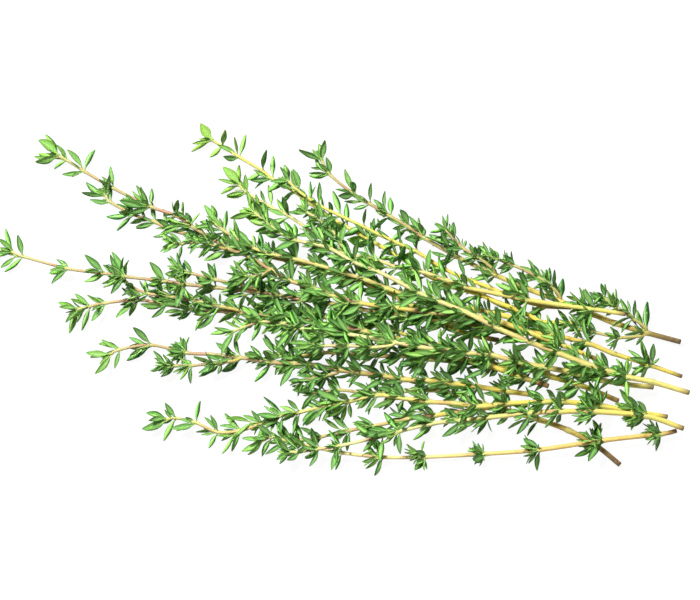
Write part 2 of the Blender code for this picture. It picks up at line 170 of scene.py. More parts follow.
# Where a stem's wall, cut rim, pith and tip lie on its map, and how the leaves share theirs.
WALL_CELL = (0.98, 0.94)
RIM_CELL = (0, 0.97, 0.5, -0.02)
PITH_DISC = (0.6, 0.975, 0.015)
TIP_CELL = (0.7, 0.96, 0.2, 0.03)
LEAF_COLUMNS = 1.6
CELL_FILL = 0.96

# The visible leaves: rows from foot to tip, and one row's outline, whose points are shares of the
# half width, from the left margin over the upper face to the right margin and back below.
BLADE_ROWS = (0, 0.04, 0.09, 0.15, 0.24, 0.35, 0.47, 0.59, 0.71, 0.82, 0.91, 0.97)
SMALL_ROWS = (0, 0.07, 0.16, 0.3, 0.48, 0.66, 0.83, 0.95)
BLADE_OUTLINE = (
    (-0.95, -0.4), (-0.76, 0.0), (-0.28, 0.15), (0, 0), (0.28, 0.15), (0.76, 0.0),
    (0.95, -0.4), (0.6, -0.22), (0, -0.32), (-0.6, -0.22),
)
UNDERSIDE = (0.3, 0, 0, 0, 0, 0, 0.3, 1, 1, 1)
PETIOLE_WIDTH = 0.24
PETIOLE_END = 0.35
BLADE_START = 0.1
BLADE_FULLEST = 0.95
BLADE_SHAPE = (1.35, 0.68)
FOOT_THICKNESS = 0.35
BLADE_CUP = (0.05, 0.4)
BLADE_BEND = (-0.15, 0.9)
BEND_GROWTH = 1.3
BLADE_SWAY = 0.55
OWN_LEAF_BROADNESS = 1.3
PRESSED_BELOW = 1.2
BLADE_TURN = 0.5
FOOT_INSIDE_STEM = 0.45

# The stems' own colours, linear: how far the colour of the cut end reaches in millimetres, then
# the colours at the cut end, along the lower part and along the upper part.
STEM_COLOURS = {
    "yellow": (4, (0.22, 0.14, 0.05), (0.76, 0.64, 0.10), (0.70, 0.67, 0.19)),
    "bright": (4, (0.24, 0.16, 0.05), (0.78, 0.64, 0.07), (0.66, 0.64, 0.12)),
    "golden": (5, (0.16, 0.10, 0.04), (0.73, 0.58, 0.10), (0.43, 0.35, 0.16)),
    "olive": (9, (0.30, 0.18, 0.06), (0.60, 0.47, 0.05), (0.54, 0.48, 0.09)),
    "pink": (12, (0.22, 0.12, 0.05), (0.70, 0.56, 0.09), (0.48, 0.38, 0.17)),
    "pale": (4, (0.24, 0.16, 0.06), (0.73, 0.63, 0.14), (0.72, 0.73, 0.31)),
    "cream": (4, (0.26, 0.18, 0.07), (0.75, 0.65, 0.18), (0.73, 0.71, 0.31)),
    "brown": (34, (0.12, 0.065, 0.03), (0.72, 0.56, 0.09), (0.48, 0.44, 0.17)),
    "orange": (7, (0.22, 0.11, 0.04), (0.74, 0.50, 0.14), (0.84, 0.72, 0.29)),
    "brown_foot": (26, (0.34, 0.19, 0.07), (0.80, 0.64, 0.09), (0.68, 0.64, 0.12)),
}
STEM_KINDS = {
    "l": "brown", "r": "olive", "n": "olive", "h": "golden", "e": "pink", "p": "pink",
    "m": "pink", "k": "orange", "o": "yellow", "c": "bright", "d": "golden", "q": "golden",
    "i": "yellow", "a": "brown", "j": "pale", "f": "brown_foot", "g": "cream", "b": "pale",
    "y": "cream",
}
SHOOT_COLOUR_START = 0.45
UPPER_FROM = (0.25, 0.75)
# The purple stretch ahead of each node, in millimetres, and the green of the nodes and the tip.
NODE_PURPLE = (0.42, 0.19, 0.14)
PURPLE_RISE = (0.3, 1.4)
PURPLE_FALL = (3.0, 10.0)
PURPLE_RANGE = (0.2, 0.8)
PURPLE_FROM = (0.05, 0.35)
PURPLE_MOST = 0.95
NODE_GREEN = (0.50, 0.52, 0.18)
GREEN_REACH = 0.9
GREEN_MOST = 0.6
TIP_GREEN_FROM = 0.93
TIP_GREEN_MOST = 0.7
SPRIG_PURPLE = {"b": 0.5, "c": 0.2, "d": 1.4, "e": 2.0, "f": 0.2, "i": 0.8, "q": 2.0, "y": 0.7}

PITH_COLOUR = (0.3, 0.22, 0.12)
STEM_SHADE = (0.34, 0.17, 0.03, 1)
STEM_FLECK = (0.88, 0.80, 0.42, 1)
STEM_THICKNESS = {
    "b": 0.82, "c": 0.8, "d": 0.8, "e": 0.95, "f": 0.72, "i": 0.92, "k": 0.88, "m": 0.9,
    "q": 0.88, "r": 0.8,
}

# How much lighter or darker a sprig's leaves are than the middle green, and how young its tip is.
# Partly the sprigs' own tones; the darker values of the sprigs lying low in the heap (e, h, l, n, p, r)
# are painted shade.
SPRIG_TONE_AND_SHADE = {
    "a": -0.2, "b": 0.2, "c": 0.12, "e": -0.1, "f": -0.1, "g": 0.12, "h": -0.2, "k": -0.05,
    "l": -0.25, "m": -0.15, "n": -0.35, "o": 0.1, "p": -0.3, "r": -0.35, "y": 0.22,
}
TIP_YOUTH = {"b": 0.7, "c": 0.95, "e": 0.35, "h": 0.4, "q": 0.35, "y": 0.5}
COMMON_YOUTH = 0.15
YOUNG_FROM = 0.86

# The leaves' colours, linear.
LEAF_DARK = (0.005, 0.085, 0.005, 1)
LEAF_MID = (0.085, 0.42, 0.014, 1)
# A lighter green, also laid down the middle of the blade as a painted highlight.
LEAF_LIGHT_AND_HIGHLIGHT = (0.28, 0.62, 0.10, 1)
LEAF_BLUE = (0.012, 0.16, 0.026, 1)
# Pale veins and midrib; on the midrib partly its own paler colour, partly painted highlight.
LEAF_RIB_AND_HIGHLIGHT = (0.52, 0.73, 0.34, 1)
# Painted shade along the rolled-under margins.
LEAF_MARGIN_SHADE = (0.004, 0.045, 0.004, 1)
LEAF_UNDER = (0.20, 0.45, 0.12, 1)
LEAF_YOUNG = (0.36, 0.56, 0.08, 1)
LEAF_TIP = (0.04, 0.07, 0.04, 1)
LEAF_FOOT = (0.36, 0.50, 0.14, 1)

# Layers of colour from the lowest up: the colour, its strength, and the values of the surface
# that show it. A value that comes with two numbers shows none of it at the first and all at the
# second. A relief is a sum of such values, with their strengths in front.
LEAF_LAYERS = (
    (LEAF_LIGHT_AND_HIGHLIGHT, 1.0, ("shade", 0.6, 1.0)),
    (LEAF_BLUE, 1.0, ("shade", 0.35, 0.0)),
    (LEAF_LIGHT_AND_HIGHLIGHT, 0.45, ("patches", 0.45, 0.7)),
    (LEAF_DARK, 0.25, ("fine", 0.5, 0.75)),
    # Dark margins: painted shade where the blade rolls under.
    (LEAF_MARGIN_SHADE, 0.95, ("aside", 0.5, 0.82)),
    (LEAF_RIB_AND_HIGHLIGHT, 0.12, ("vein", 0.75, 1.0), ("aside", 0.85, 0.6)),
    # A lighter band down the middle of the blade: painted highlight.
    (LEAF_LIGHT_AND_HIGHLIGHT, 0.5, ("aside", 0.65, 0.1), ("along", 0.95, 0.5)),
    # The pale midrib line: partly the midrib's own paler colour, partly painted highlight.
    (LEAF_RIB_AND_HIGHLIGHT, 0.7, ("aside", 0.28, 0.08), ("along", 1.0, 0.6)),
    (LEAF_UNDER, 0.6, ("under",)),
    (LEAF_YOUNG, 0.55, ("young",)),
    (LEAF_TIP, 0.35, ("along", 0.9, 1.0)),
    (LEAF_FOOT, 0.8, ("along", 0.26, 0.08)),
)
LEAF_RELIEF = (
    (0.5, ("fine",)),
    (-0.6, ("vein", 0.75, 1.0), ("aside", 0.85, 0.6)),
    (-0.6, ("aside", 0.28, 0.08), ("along", 1.0, 0.6)),
)
STEM_LAYERS = ((STEM_SHADE, 0.5, ("streaks", 0.5, 0.72)), (STEM_FLECK, 0.3, ("fine", 0.45, 0.75)))
STEM_RELIEF = ((1.0, ("streaks",)), (0.5, ("fine",)))
LEAF_RELIEF_DEPTH = 0.00008
STEM_RELIEF_DEPTH = 0.00012
VEIN_PAIRS = 5.0
VEIN_SLANT = 1.1

# Scale and detail of the noises, and the plain settings of each surface.
LEAF_PATCHES = (900.0, 3.0)
LEAF_GRAIN = (5200.0, 2.0)
STEM_STREAKS = (3.0, 4.0)
STEM_GRAIN = (3800.0, 2.0)
LEAF_SURFACE = {
    "Roughness": 0.4,
    "Specular IOR Level": 0.12,
    "Subsurface Weight": 0.08,
    "Subsurface Radius": (0.6, 1.0, 0.3),
    "Subsurface Scale": 0.0006,
}
STEM_SURFACE = {"Roughness": 0.48, "Specular IOR Level": 0.15}

FLOOR_SIZE = 4.0
FLOOR_SURFACE = {
    "Base Color": (0.1, 0.1, 0.1, 1),
    "Roughness": 0.9,
    "Emission Color": (1, 1, 1, 1),
    "Emission Strength": 0.93,
}
HORIZON_STRENGTH = 0.9
ZENITH_STRENGTH = 0.05
HORIZON_UP_TO = 0.35
LIGHTS = (
    ("key", (-0.25, 0.35, 0.6), 0.2, 10.8),
    ("fill", (0.5, -0.3, 0.5), 0.5, 0.9),
)

# The camera looks straight down on a view VIEW_WIDTH wide, as if the picture were 700 by 600.
VIEW_WIDTH = 0.224
VIEW_CENTRE = (0.0034, 0.0002)
VIEW_LEVEL = 0.006
LENS = 100.0
SENSOR = 36.0
CLIP_START = 0.01

# The plan (x, y) of the nodes of each sprig or shoot, from the cut end or the axil to the tip. A
# shoot grows from the sprig that its name starts with. A sprig rests on those before it.
ROUTES = {
    "l": ((88.5, -53), (81, -47), (72, -42), (62.5, -38.5), (53.5, -36), (45, -33.5), (37, -30.5),
        (27, -29), (17.5, -29.5), (8.5, -30), (-1.5, -29), (-6.5, -29.5), (-10, -30)),
    "r": ((51, -23), (40, -17.5), (27, -13.5), (17.5, -10.5), (10.5, -8.5), (1.5, -6.5), (-6.5, -5.5),
        (-14.5, -3.5), (-21, -1.5), (-24.5, -0.5)),
    "n": ((88, -32.5), (76, -27.5), (66, -24.5), (60, -22.5), (49.5, -21), (38.5, -20), (27, -19),
        (19, -18), (11, -18), (1.5, -17.5), (-6.5, -17), (-14.5, -18), (-19, -18), (-22.5, -17.5)),
    "h": ((60.5, -30.5), (53, -29.5), (43, -28), (35, -27), (27, -26), (19, -25.5), (13, -24.5),
        (5.5, -23.5), (-1.5, -22.5), (-9.5, -21), (-16, -20.5), (-23.5, -20), (-33.5, -18.5),
        (-43, -17.5), (-51, -17), (-62.5, -14.5), (-72.5, -16), (-75.5, -17.5)),
    "h_shoot_1": ((-33.5, -18.5), (-39.5, -20), (-49, -21), (-54.5, -21), (-57.5, -20.5)),
    "h_shoot_2": ((-1.5, -22.5), (-5.5, -24), (-9.5, -24.5), (-13.5, -26)),
    "e": ((65, -27.5), (57.5, -25), (46, -21), (35, -18), (25.5, -15), (15.5, -12), (6.5, -10),
        (0.5, -9), (-7.5, -7.5), (-14.5, -6.5), (-24, -5), (-33.5, -4), (-41.5, -3.5), (-49, -3),
        (-57.5, -1.5), (-66.5, 0), (-77, -1), (-82, -2), (-86, -3)),
    "e_shoot_1": ((-33.5, -4), (-40, -2), (-46.5, -0.5), (-55.5, 1), (-63, 2), (-68, 4), (-70.5, 6)),
    "p": ((49.5, -13), (40, -11), (30.5, -7), (21, -1.5), (13, 3), (5, 6), (-5, 9), (-15, 12),
        (-26.5, 14.5), (-33.5, 17.5), (-45.5, 20), (-56, 22.5), (-61, 25), (-68, 27.5), (-75.5, 31.5),
        (-77, 33.5)),
    "m": ((62.5, -32.5), (52, -33.5), (40, -35.5), (29, -37), (21, -38), (9.5, -40.5), (1.5, -42),
        (-7.5, -44), (-13, -45), (-17.5, -44)),
    "k": ((106.5, -42), (101.5, -43), (82.5, -45), (62.5, -48), (45, -49.5), (26, -50.5), (12, -50.5),
        (-1, -49), (-8.5, -47.5), (-14.5, -46), (-19, -45), (-23.5, -44), (-26.5, -45)),
    "o": ((78, -7.5), (68, -7.5), (57.5, -6.5), (46.5, -4), (35, -2), (24, 0.5), (14, 3.5), (6.5, 6.5),
        (0, 8.5), (-8, 11), (-15.5, 13), (-22.5, 14.5), (-29, 16.5), (-33.5, 19), (-38.5, 22),
        (-41.5, 24.5)),
    "c": ((73, -13), (67, -10.5), (62.5, -7), (56, -3.5), (49.5, -1), (42.5, 2), (33.5, 4.5), (26.5, 8),
        (18, 13.5), (9.5, 18.5), (0.5, 23.5), (-4.5, 26.5), (-11, 31), (-16.5, 35), (-23.5, 39),
        (-26.5, 41.5), (-34, 46), (-39.5, 49.5), (-43, 51.5)),
    "d": ((108, -24.5), (98, -21), (85.5, -17), (78, -14), (67.5, -11.5), (56, -10), (45, -9),
        (33.5, -7), (21.5, -5.5), (13.5, -4), (5.5, -3), (-5, -1), (-13, 0), (-21, 1.5), (-28, 2.5),
        (-41.5, 4), (-51, 5), (-57.5, 6), (-70.5, 7.5), (-77, 8.5), (-88.5, 10), (-103.5, 14),
        (-107, 15.5)),
    "d_shoot_1": ((-28, 2.5), (-33.5, 5), (-41.5, 6.5), (-49, 8.5), (-53, 9.5)),
    "q": ((80.5, -19), (69.5, -14.5), (59, -10.5), (49.5, -7), (42.5, -5.5), (35, -4.5), (28, -4),
        (16, -2.5), (5, -1), (-4, 1.5), (-9.5, 3.5), (-17, 6), (-23.5, 9.5), (-31, 14), (-37.5, 16.5),
        (-41.5, 19), (-49, 23.5), (-54, 27), (-62.5, 30), (-74.5, 36), (-84, 41.5), (-89.5, 45),
        (-92.5, 46.5)),
    "q_shoot_1": ((-37.5, 16.5), (-42, 17.5), (-46.5, 18.5), (-52, 18), (-54.5, 18)),
    "q_shoot_2": ((-23.5, 9.5), (-26.5, 8), (-30, 7.5), (-32.5, 7.5)),
    "i": ((103.5, -37.5), (94.5, -36), (82.5, -34), (70.5, -32.5), (64, -32.5), (52, -33), (43, -34),
        (35, -33), (27, -32.5), (19, -31.5), (10.5, -30.5), (1.5, -32.5), (-4, -33.5), (-14.5, -36),
        (-20, -37), (-26.5, -39.5), (-33.5, -42), (-41, -42.5), (-48, -39.5), (-54.5, -38),
        (-57.5, -38.5)),
    "a": ((108, -13.5), (97, -10.5), (87, -7.5), (79.5, -4.5), (69.5, -0.5), (59, 3.5), (48.5, 8),
        (36, 14), (25.5, 20), (20.5, 23.5), (14.5, 27), (8, 31), (3, 34), (-5, 40.5), (-7.5, 45)),
    "a_shoot_1": ((97, -10.5), (92.5, -6), (87.5, -2.5), (83.5, 0.5)),
    "a_shoot_2": ((97, -10.5), (88, -12), (80.5, -10.5), (75.5, -9.5), (72, -8)),
    "a_shoot_3": ((69.5, -0.5), (66.5, 4), (62.5, 7), (54.5, 11), (49.5, 13), (46.5, 14)),
    "a_shoot_4": ((48.5, 8), (43, 13.5), (38, 16.5), (35, 19.5), (32.5, 22.5)),
    "j": ((108, -41), (96, -37), (79.5, -35.5), (69, -35.5), (59, -36), (46, -37.5), (37, -38.5),
        (28, -39.5), (17.5, -42), (12, -43.5), (-1.5, -46.5), (-8.5, -47.5), (-14.5, -48.5),
        (-17.5, -48.5)),
    "f": ((72.5, -2.5), (64, -2), (54.5, 0.5), (46.5, 4), (38.5, 7), (32, 10), (23, 15.5), (17.5, 18),
        (11, 21), (6, 23.5), (-1.5, 27), (-8.5, 30.5), (-15, 35), (-18, 38)),
    "g": ((99, -28), (90, -27), (81.5, -25.5), (74.5, -23.5), (64, -21.5), (56, -20), (46.5, -17.5),
        (39.5, -17), (32, -16), (24, -15), (16, -13.5), (1.5, -11), (-5, -10.5), (-14.5, -9),
        (-19.5, -7.5), (-26.5, -7), (-32, -8.5), (-35.5, -10)),
    "g_shoot_1": ((16, -13.5), (8.5, -15), (1.5, -14.5), (-6.5, -14.5), (-12, -14.5)),
    "b": ((89.5, -4.5), (79.5, -3), (68, -1.5), (58.5, 0), (48.5, 2), (39, 4), (32, 6.5), (24.5, 9),
        (17, 10.5), (9.5, 13), (1.5, 14.5), (-4.5, 17.5), (-10, 21.5), (-18, 27), (-24, 30),
        (-31.5, 34.5), (-34, 37)),
    "b_shoot_1": ((1.5, 14.5), (-1.5, 18), (-3.5, 21.5), (-7.5, 25), (-12, 28)),
    "y": ((109.5, -29.5), (97.5, -26), (90, -24.5), (83.5, -22.5), (77, -20.5), (68, -17), (59, -13.5),
        (48.5, -9), (38.5, -4), (30, -0.5), (24, 2), (17.5, 5.5), (10.5, 9), (3, 12), (-4, 16),
        (-8.5, 17.5), (-15.5, 19), (-20, 21), (-23.5, 23.5), (-26.5, 26), (-29, 28)),
}

# Nodes that have lost their leaves.
BARE_NODES = {
    "a": (2,), "b": (2, 4), "c": (4,), "d": (2,), "f": (2,), "g": (1,), "h": (13,), "i": (7,),
    "l": (2,), "o": (1,), "y": (1, 11),
}

# Leaves with a size and opening of their own: stem, node and side face, then length, width and
# opening in degrees. Faces 0 and 3 look towards -Y, and faces 1 and 2 towards +Y.
OWN_LEAVES = {
    ("a", 1, 1): (10.4, 2.2, 45), ("a", 4, 2): (7.8, 2.2, 52), ("a", 8, 2): (5.8, 1.8, 46),
    ("a", 9, 1): (7.6, 2.0, 35), ("a", 10, 2): (7.2, 1.7, 59), ("a", 10, 0): (7.2, 1.3, 49),
    ("a", 12, 2): (6.2, 2.0, 38), ("a", 12, 0): (6.6, 2.0, 44), ("a", 13, 1): (6.2, 1.6, 46),
    ("a", 13, 3): (7.2, 1.8, 46), ("a", 14, 1): (6.8, 1.9, 22), ("a", 14, 2): (6.6, 1.9, 30),
    ("a_shoot_3", 2, 2): (5.2, 1.3, 35), ("a_shoot_3", 3, 1): (6.2, 1.3, 32),
    ("a_shoot_3", 4, 2): (4.6, 1.1, 40),
    ("b", 16, 1): (8.0, 2.5, 12),
    ("c", 9, 3): (10.4, 3.3, 18), ("c", 17, 1): (6.0, 1.8, 55), ("c", 17, 3): (5.6, 1.6, 56),
    ("c", 18, 1): (6.4, 2.6, 12),
    ("d", 3, 3): (7.0, 3.2, 18), ("d", 19, 1): (9.4, 1.9, 42), ("d", 21, 1): (7.4, 1.7, 60),
    ("f", 6, 2): (8.6, 2.0, 41), ("f", 9, 3): (7.0, 2.2, 26),
    ("h", 12, 0): (9.0, 2.3, 45), ("h", 15, 1): (9.6, 1.9, 45), ("h", 15, 3): (9.4, 2.2, 25),
    ("h", 17, 0): (8.6, 1.8, 38), ("h", 17, 1): (7.8, 1.9, 16),
    ("i", 18, 2): (7.6, 1.8, 61), ("i", 19, 1): (6.6, 1.5, 43), ("i", 20, 0): (8.4, 2.2, 22),
    ("k", 2, 2): (7.4, 1.7, 66), ("k", 2, 0): (8.8, 2.0, 24), ("k", 4, 0): (6.4, 2.5, 27),
    ("k", 4, 2): (6.8, 1.7, 22), ("k", 5, 3): (6.6, 2.0, 36), ("k", 5, 1): (5.6, 1.5, 50),
    ("n", 1, 3): (8.0, 2.6, 48),
    ("q", 19, 1): (7.0, 1.4, 40), ("q", 20, 2): (8.0, 1.6, 62), ("q", 20, 0): (7.2, 1.4, 46),
    ("q", 22, 1): (7.8, 2.8, 20), ("q", 22, 0): (7.4, 2.3, 44), ("q", 22, 3): (6.6, 2.0, 22),
    ("y", 2, 2): (8.8, 1.8, 60), ("y", 2, 0): (7.6, 2.0, 29),
}


def plan_route(nodes):
    """The plan nodes of one route, moved into the part's frame."""
    return np.array(nodes, float) - np.array(HEAP_CENTRE)


def samples_along(plan):
    """Points about SAMPLE_STEP apart along a plan route, with their distance from its start."""
    steps = np.linalg.norm(np.diff(plan, axis=0), axis=1)
    at_node = np.concatenate(([0.0], np.cumsum(steps)))
    count = max(8, int(at_node[-1] / SAMPLE_STEP))
    at = np.linspace(0.0, at_node[-1], count)
    points = np.column_stack([np.interp(at, at_node, plan[:, k]) for k in range(2)])
    return points, at, at_node


def lay_stem(plan, heap, start_height):
    """Heights of a stem at its nodes, resting on the surface and on the stems of the heap.

    A stem lifts over another one by CROSSING_LIFT where their axes cross, and by less as they
    pass further apart. It comes down again along a parabola, because it is stiff.
    """
    points, at, at_node = samples_along(plan)
    need = np.full(len(points), REST_HEIGHT)
    if len(heap):
        apart = np.linalg.norm(points[:, None, :] - heap[None, :, :2], axis=2)
        near = np.clip(1 - (apart / CROSSING_REACH) ** 2, 0, None)
        over = heap[None, :, 2] + CROSSING_LIFT * np.sqrt(near)
        need = np.maximum(need, np.where(near > 0, over, REST_HEIGHT).max(axis=1))
    if start_height is not None:
        freed = at < CROSSING_REACH
        need[freed] = np.minimum(need[freed], start_height)
    height = (need[None, :] - BEND * (at[:, None] - at[None, :]) ** 2).max(axis=1)
    for _ in range(SMOOTHING_PASSES):
        height[1:-1] = (height[:-2] + 2 * height[1:-1] + height[2:]) / 4
    if start_height is not None:
        height[0] = start_height
    laid = np.column_stack([points, height])
    return np.interp(at_node, at, height), laid


def stem_frame(forward):
    """Side and up directions across a stem that runs along forward."""
    up = Vector((0, 0, 1))
    up = (up - forward * up.dot(forward)).normalized()
    return up.cross(forward), up


class Stem:
    """One square stem: its nodes, directions, radii, rings of corners and leaves."""

    def __init__(self, name, parent, nodes, axil):
        self.name = name
        self.axil = axil
        self.is_shoot = parent is not None
        self.nodes = nodes
        self.random = random.Random(f"{SEED} {name}")
        self.leaves = {}
        self.small_leaves = []
        self.spurs = []
        self.start = SHOOT_RADIUS if self.is_shoot else SPRIG_RADIUS
        self.longest_leaf = (SHOOT_LEAF_LENGTH if self.is_shoot else LEAF_LENGTH)[1]
        last = len(nodes) - 1
        thinner = TIP_RADIUS - self.start
        self.radii = [self.start + thinner * (k / last) ** CAD_TAPER for k in range(last + 1)]
        self.forwards = [self.direction(k) for k in range(last + 1)]

    def direction(self, k):
        before = self.nodes[max(k - 1, 0)]
        after = self.nodes[min(k + 1, len(self.nodes) - 1)]
        return (after - before).normalized()

    def ring(self, k, along):
        """The four corners of the stem's section at node k, moved along the stem."""
        side, up = stem_frame(self.forwards[k])
        centre = self.nodes[k] + self.forwards[k] * along
        corners = (side, up, -side, -up)
        return [centre + corner * self.radii[k] for corner in corners]

    def tube(self):
        """The bare stem, to test leaves against: a ring at the cut end and two at each node."""
        points = self.ring(0, 0.0)
        for k in range(1, len(self.nodes)):
            points += self.ring(k, -COLLAR / 2) + self.ring(k, COLLAR / 2)
        end = len(points) - 4
        faces = [(3, 2, 1, 0), (end, end + 1, end + 2, end + 3)]
        for a in range(0, end, 4):
            faces += [(a + i, a + (i + 1) % 4, a + 4 + (i + 1) % 4, a + 4 + i) for i in range(4)]
        return BVHTree.FromPolygons(points, faces)


def turned_direction(stem, k, angle):
    """The direction across the stem at an angle in degrees from its side, turning upwards."""
    side, up = stem_frame(stem.forwards[k])
    turn = math.radians(angle)
    return side * math.cos(turn) + up * math.sin(turn)


def flat_turn(along, face_normal):
    """The smallest turn about a leaf's axis that lays one of its two faces level."""
    level = Vector((0, 0, 1)) - along * along.z
    turn = math.atan2(face_normal.cross(level).dot(along), face_normal.dot(level))
    return math.remainder(turn, math.pi)


class Blade:
    """What all leaves have: their directions, and the points on their axis."""

    def open_from(self, axis, outward, opening, twist):
        """Opens the leaf by some degrees from an axis and twists it towards the level."""
        lean = math.radians(opening)
        self.along = axis * math.cos(lean) + outward * math.sin(lean)
        across = axis.cross(outward)
        turn = flat_turn(self.along, self.along.cross(across)) * twist
        self.across = Quaternion(self.along, turn) @ across
        self.outer = self.across.cross(self.along)

    def place(self, root, length, width):
        self.root = root
        self.length = length
        self.width = width
        self.middle = root + self.along * length * WIDEST_AT
        self.tip = root + self.along * length


class Leaf(Blade):
    """One leaf of a stem: a keeled blade with a left, a right and a tip point.

    The leaf stands on one side face of the stem, rolled from it by some degrees, and opens away
    from the stem's tip. Its blade twists about its own axis, so that it lies nearly level.
    """

    def __init__(self, stem, k, face, roll, opening, length, width, twist):
        self.stem = stem
        low, high = stem.ring(k, -COLLAR / 2), stem.ring(k, COLLAR / 2)
        self.corners = (low[face], low[(face + 1) % 4], high[(face + 1) % 4], high[face])
        foot = turned_direction(stem, k, 45 + 90 * face) * (stem.radii[k] * math.sqrt(0.5))
        outward = turned_direction(stem, k, 45 + 90 * face + roll)
        self.open_from(stem.forwards[k], outward, opening, twist)
        self.place(stem.nodes[k] + foot, length, width)
        self.left = self.middle - self.across * width / 2
        self.right = self.middle + self.across * width / 2
        self.keel = self.middle + self.outer * LEAF_KEEL
        self.broadness = OWN_LEAF_BROADNESS if (stem.name, k, face) in OWN_LEAVES else 1.0
        self.young = youth(stem, k)

    def points(self):
        return (self.left, self.right, self.tip, self.keel)

    def whole(self, margin):
        """The leaf's points and faces as far as the stem, made larger by margin."""
        grown = [
            self.left - self.across * margin,
            self.right + self.across * margin,
            self.tip + self.along * margin,
            self.keel + self.outer * margin,
        ]
        return [*self.corners, *grown], WHOLE_FACES

    def blade(self):
        """The leaf's points and faces without its foot, for tests on the same stem."""
        foot = self.root + self.along * LEAF_ROOT
        return [foot, *self.points()], BLADE_FACES


class Crowd:
    """The accepted leaves, found by the place of their middle."""

    def __init__(self):
        self.cells = {}

    def cell(self, leaf):
        return int(leaf.middle.x // CROWD_CELL), int(leaf.middle.y // CROWD_CELL)

    def add(self, leaf):
        leaf.whole_tree = BVHTree.FromPolygons(*leaf.whole(0.0))
        leaf.blade_tree = BVHTree.FromPolygons(*leaf.blade())
        self.keep(leaf)

    def keep(self, leaf):
        self.cells.setdefault(self.cell(leaf), []).append(leaf)

    def all(self):
        return [leaf for cell in self.cells.values() for leaf in cell]

    def near(self, leaf):
        x, y = self.cell(leaf)
        around = ((x + i, y + j) for i in (-1, 0, 1) for j in (-1, 0, 1))
        return [other for cell in around for other in self.cells.get(cell, ())]


def is_clear(leaf, stems, crowd):
    """Whether a leaf stays above the surface and off the other stems and the accepted leaves."""
    if min(point.z for point in leaf.points()) < 0:
        return False
    for margin in (0.0, PIECE_GAP):
        probe = BVHTree.FromPolygons(*leaf.whole(margin))
        if any(stem is not leaf.stem and stem.tree.overlap(probe) for stem in stems):
            return False
    blade = BVHTree.FromPolygons(*leaf.blade())
    for other in crowd.near(leaf):
        if other.stem is leaf.stem:
            if other.blade_tree.overlap(blade):
                return False
        elif other.whole_tree.overlap(probe):
            return False
    return True


def grow_leaf(stem, k, face, opening_range, stems, crowd):
    """Adds the first leaf that is clear of its neighbours, and none where there is no room."""
    draw = stem.random
    longest = SHOOT_LEAF_LENGTH if stem.is_shoot else LEAF_LENGTH
    length = draw.uniform(*longest)
    width = length * draw.uniform(*LEAF_WIDTH_RATIO)
    opening = draw.uniform(*opening_range)
    length, width, opening = OWN_LEAVES.get((stem.name, k, face), (length, width, opening))
    roll = draw.uniform(-LEAF_ROLL, LEAF_ROLL) + (LEAF_FLATTEN if face % 2 else -LEAF_FLATTEN)
    twist = draw.uniform(*LEAF_TWIST)
    for shorten in LENGTH_TRIES:
        for open_more in OPENING_TRIES:
            for turn in ROLL_TRIES:
                leaf = Leaf(stem, k, face, roll + turn, opening + open_more,
                            length * shorten, width * shorten, twist)
                if is_clear(leaf, stems, crowd):
                    crowd.add(leaf)
                    stem.leaves[k, face] = leaf
                    return


def grow_leaves(stems):
    """Leaf pairs at the nodes, each turned a quarter from the last, and four leaves at the tip."""
    crowd = Crowd()
    for stem in stems:
        last = len(stem.nodes) - 1
        for k in range(1, last):
            if k in BARE_NODES.get(stem.name, ()):
                continue
            for face in (k % 2, k % 2 + 2):
                grow_leaf(stem, k, face, LEAF_OPENING, stems, crowd)
        for face in range(4):
            grow_leaf(stem, last, face, TIP_OPENING, stems, crowd)
    return crowd


def shoot_start(parent, nodes):
    """The point beside the parent's stem where a shoot begins, a gap away from it."""
    way = (nodes[1] - nodes[0]).normalized()
    k = min(range(len(parent.nodes)), key=lambda n: (parent.nodes[n] - nodes[0]).length)
    forward = parent.forwards[k]
    aside = (way - forward * way.dot(forward)).normalized()
    clear = parent.radii[k] + PIECE_GAP + SHOOT_RADIUS * 0.8
    return nodes[0] + aside * clear + forward * COLLAR


def lay_heap():
    """All stems in their places, from the lowest to the highest."""
    stems = []
    heap = np.zeros((0, 3))
    for name, route in ROUTES.items():
        plan = plan_route(route)
        grows_from = name.split("_")[0]
        parent = next((stem for stem in stems if stem.name == grows_from), None)
        start_height = None
        if parent:
            starts = [(node.xy - Vector(plan[0])).length for node in parent.nodes]
            start_height = parent.nodes[starts.index(min(starts))].z
        heights, laid = lay_stem(plan, heap, start_height)
        nodes = [Vector((x, y, z)) for (x, y), z in zip(plan, heights)]
        axil = nodes[0]
        if parent:
            nodes[0] = shoot_start(parent, nodes)
        stems.append(Stem(name, parent, nodes, axil))
        heap = np.vstack([heap, laid])
    return stems


class SmallLeaf(Blade):
    """A leaf of a tuft, which opens by some degrees from the axis of its spur."""

    def __init__(self, spur, place, outward, opening, length, width, twist):
        self.stem = spur.stem
        self.young = spur.young
        self.broadness = 1.0
        self.open_from(spur.axis, outward, opening, twist)
        self.place(spur.root + spur.axis * place, length, width)


class Spur:
    """A very short side shoot in a leaf's axil, or the bud at a stem's tip."""

    def __init__(self, stem, root, axis, size, young, forward=None):
        self.stem = stem
        self.root = root
        self.axis = axis
        self.size = size
        self.young = young
        self.forward = forward
        self.length = 0.0


def leaf_core(leaf):
    """A flat, narrower diamond in the blade, to test small leaves with."""
    aside = leaf.across * leaf.width * CORE_WIDTH / 2
    foot = leaf.root + leaf.along * leaf.length * CORE_START
    points = [foot, leaf.middle - aside, leaf.tip, leaf.middle + aside]
    return BVHTree.FromPolygons(points, [(0, 1, 2), (0, 2, 3)])


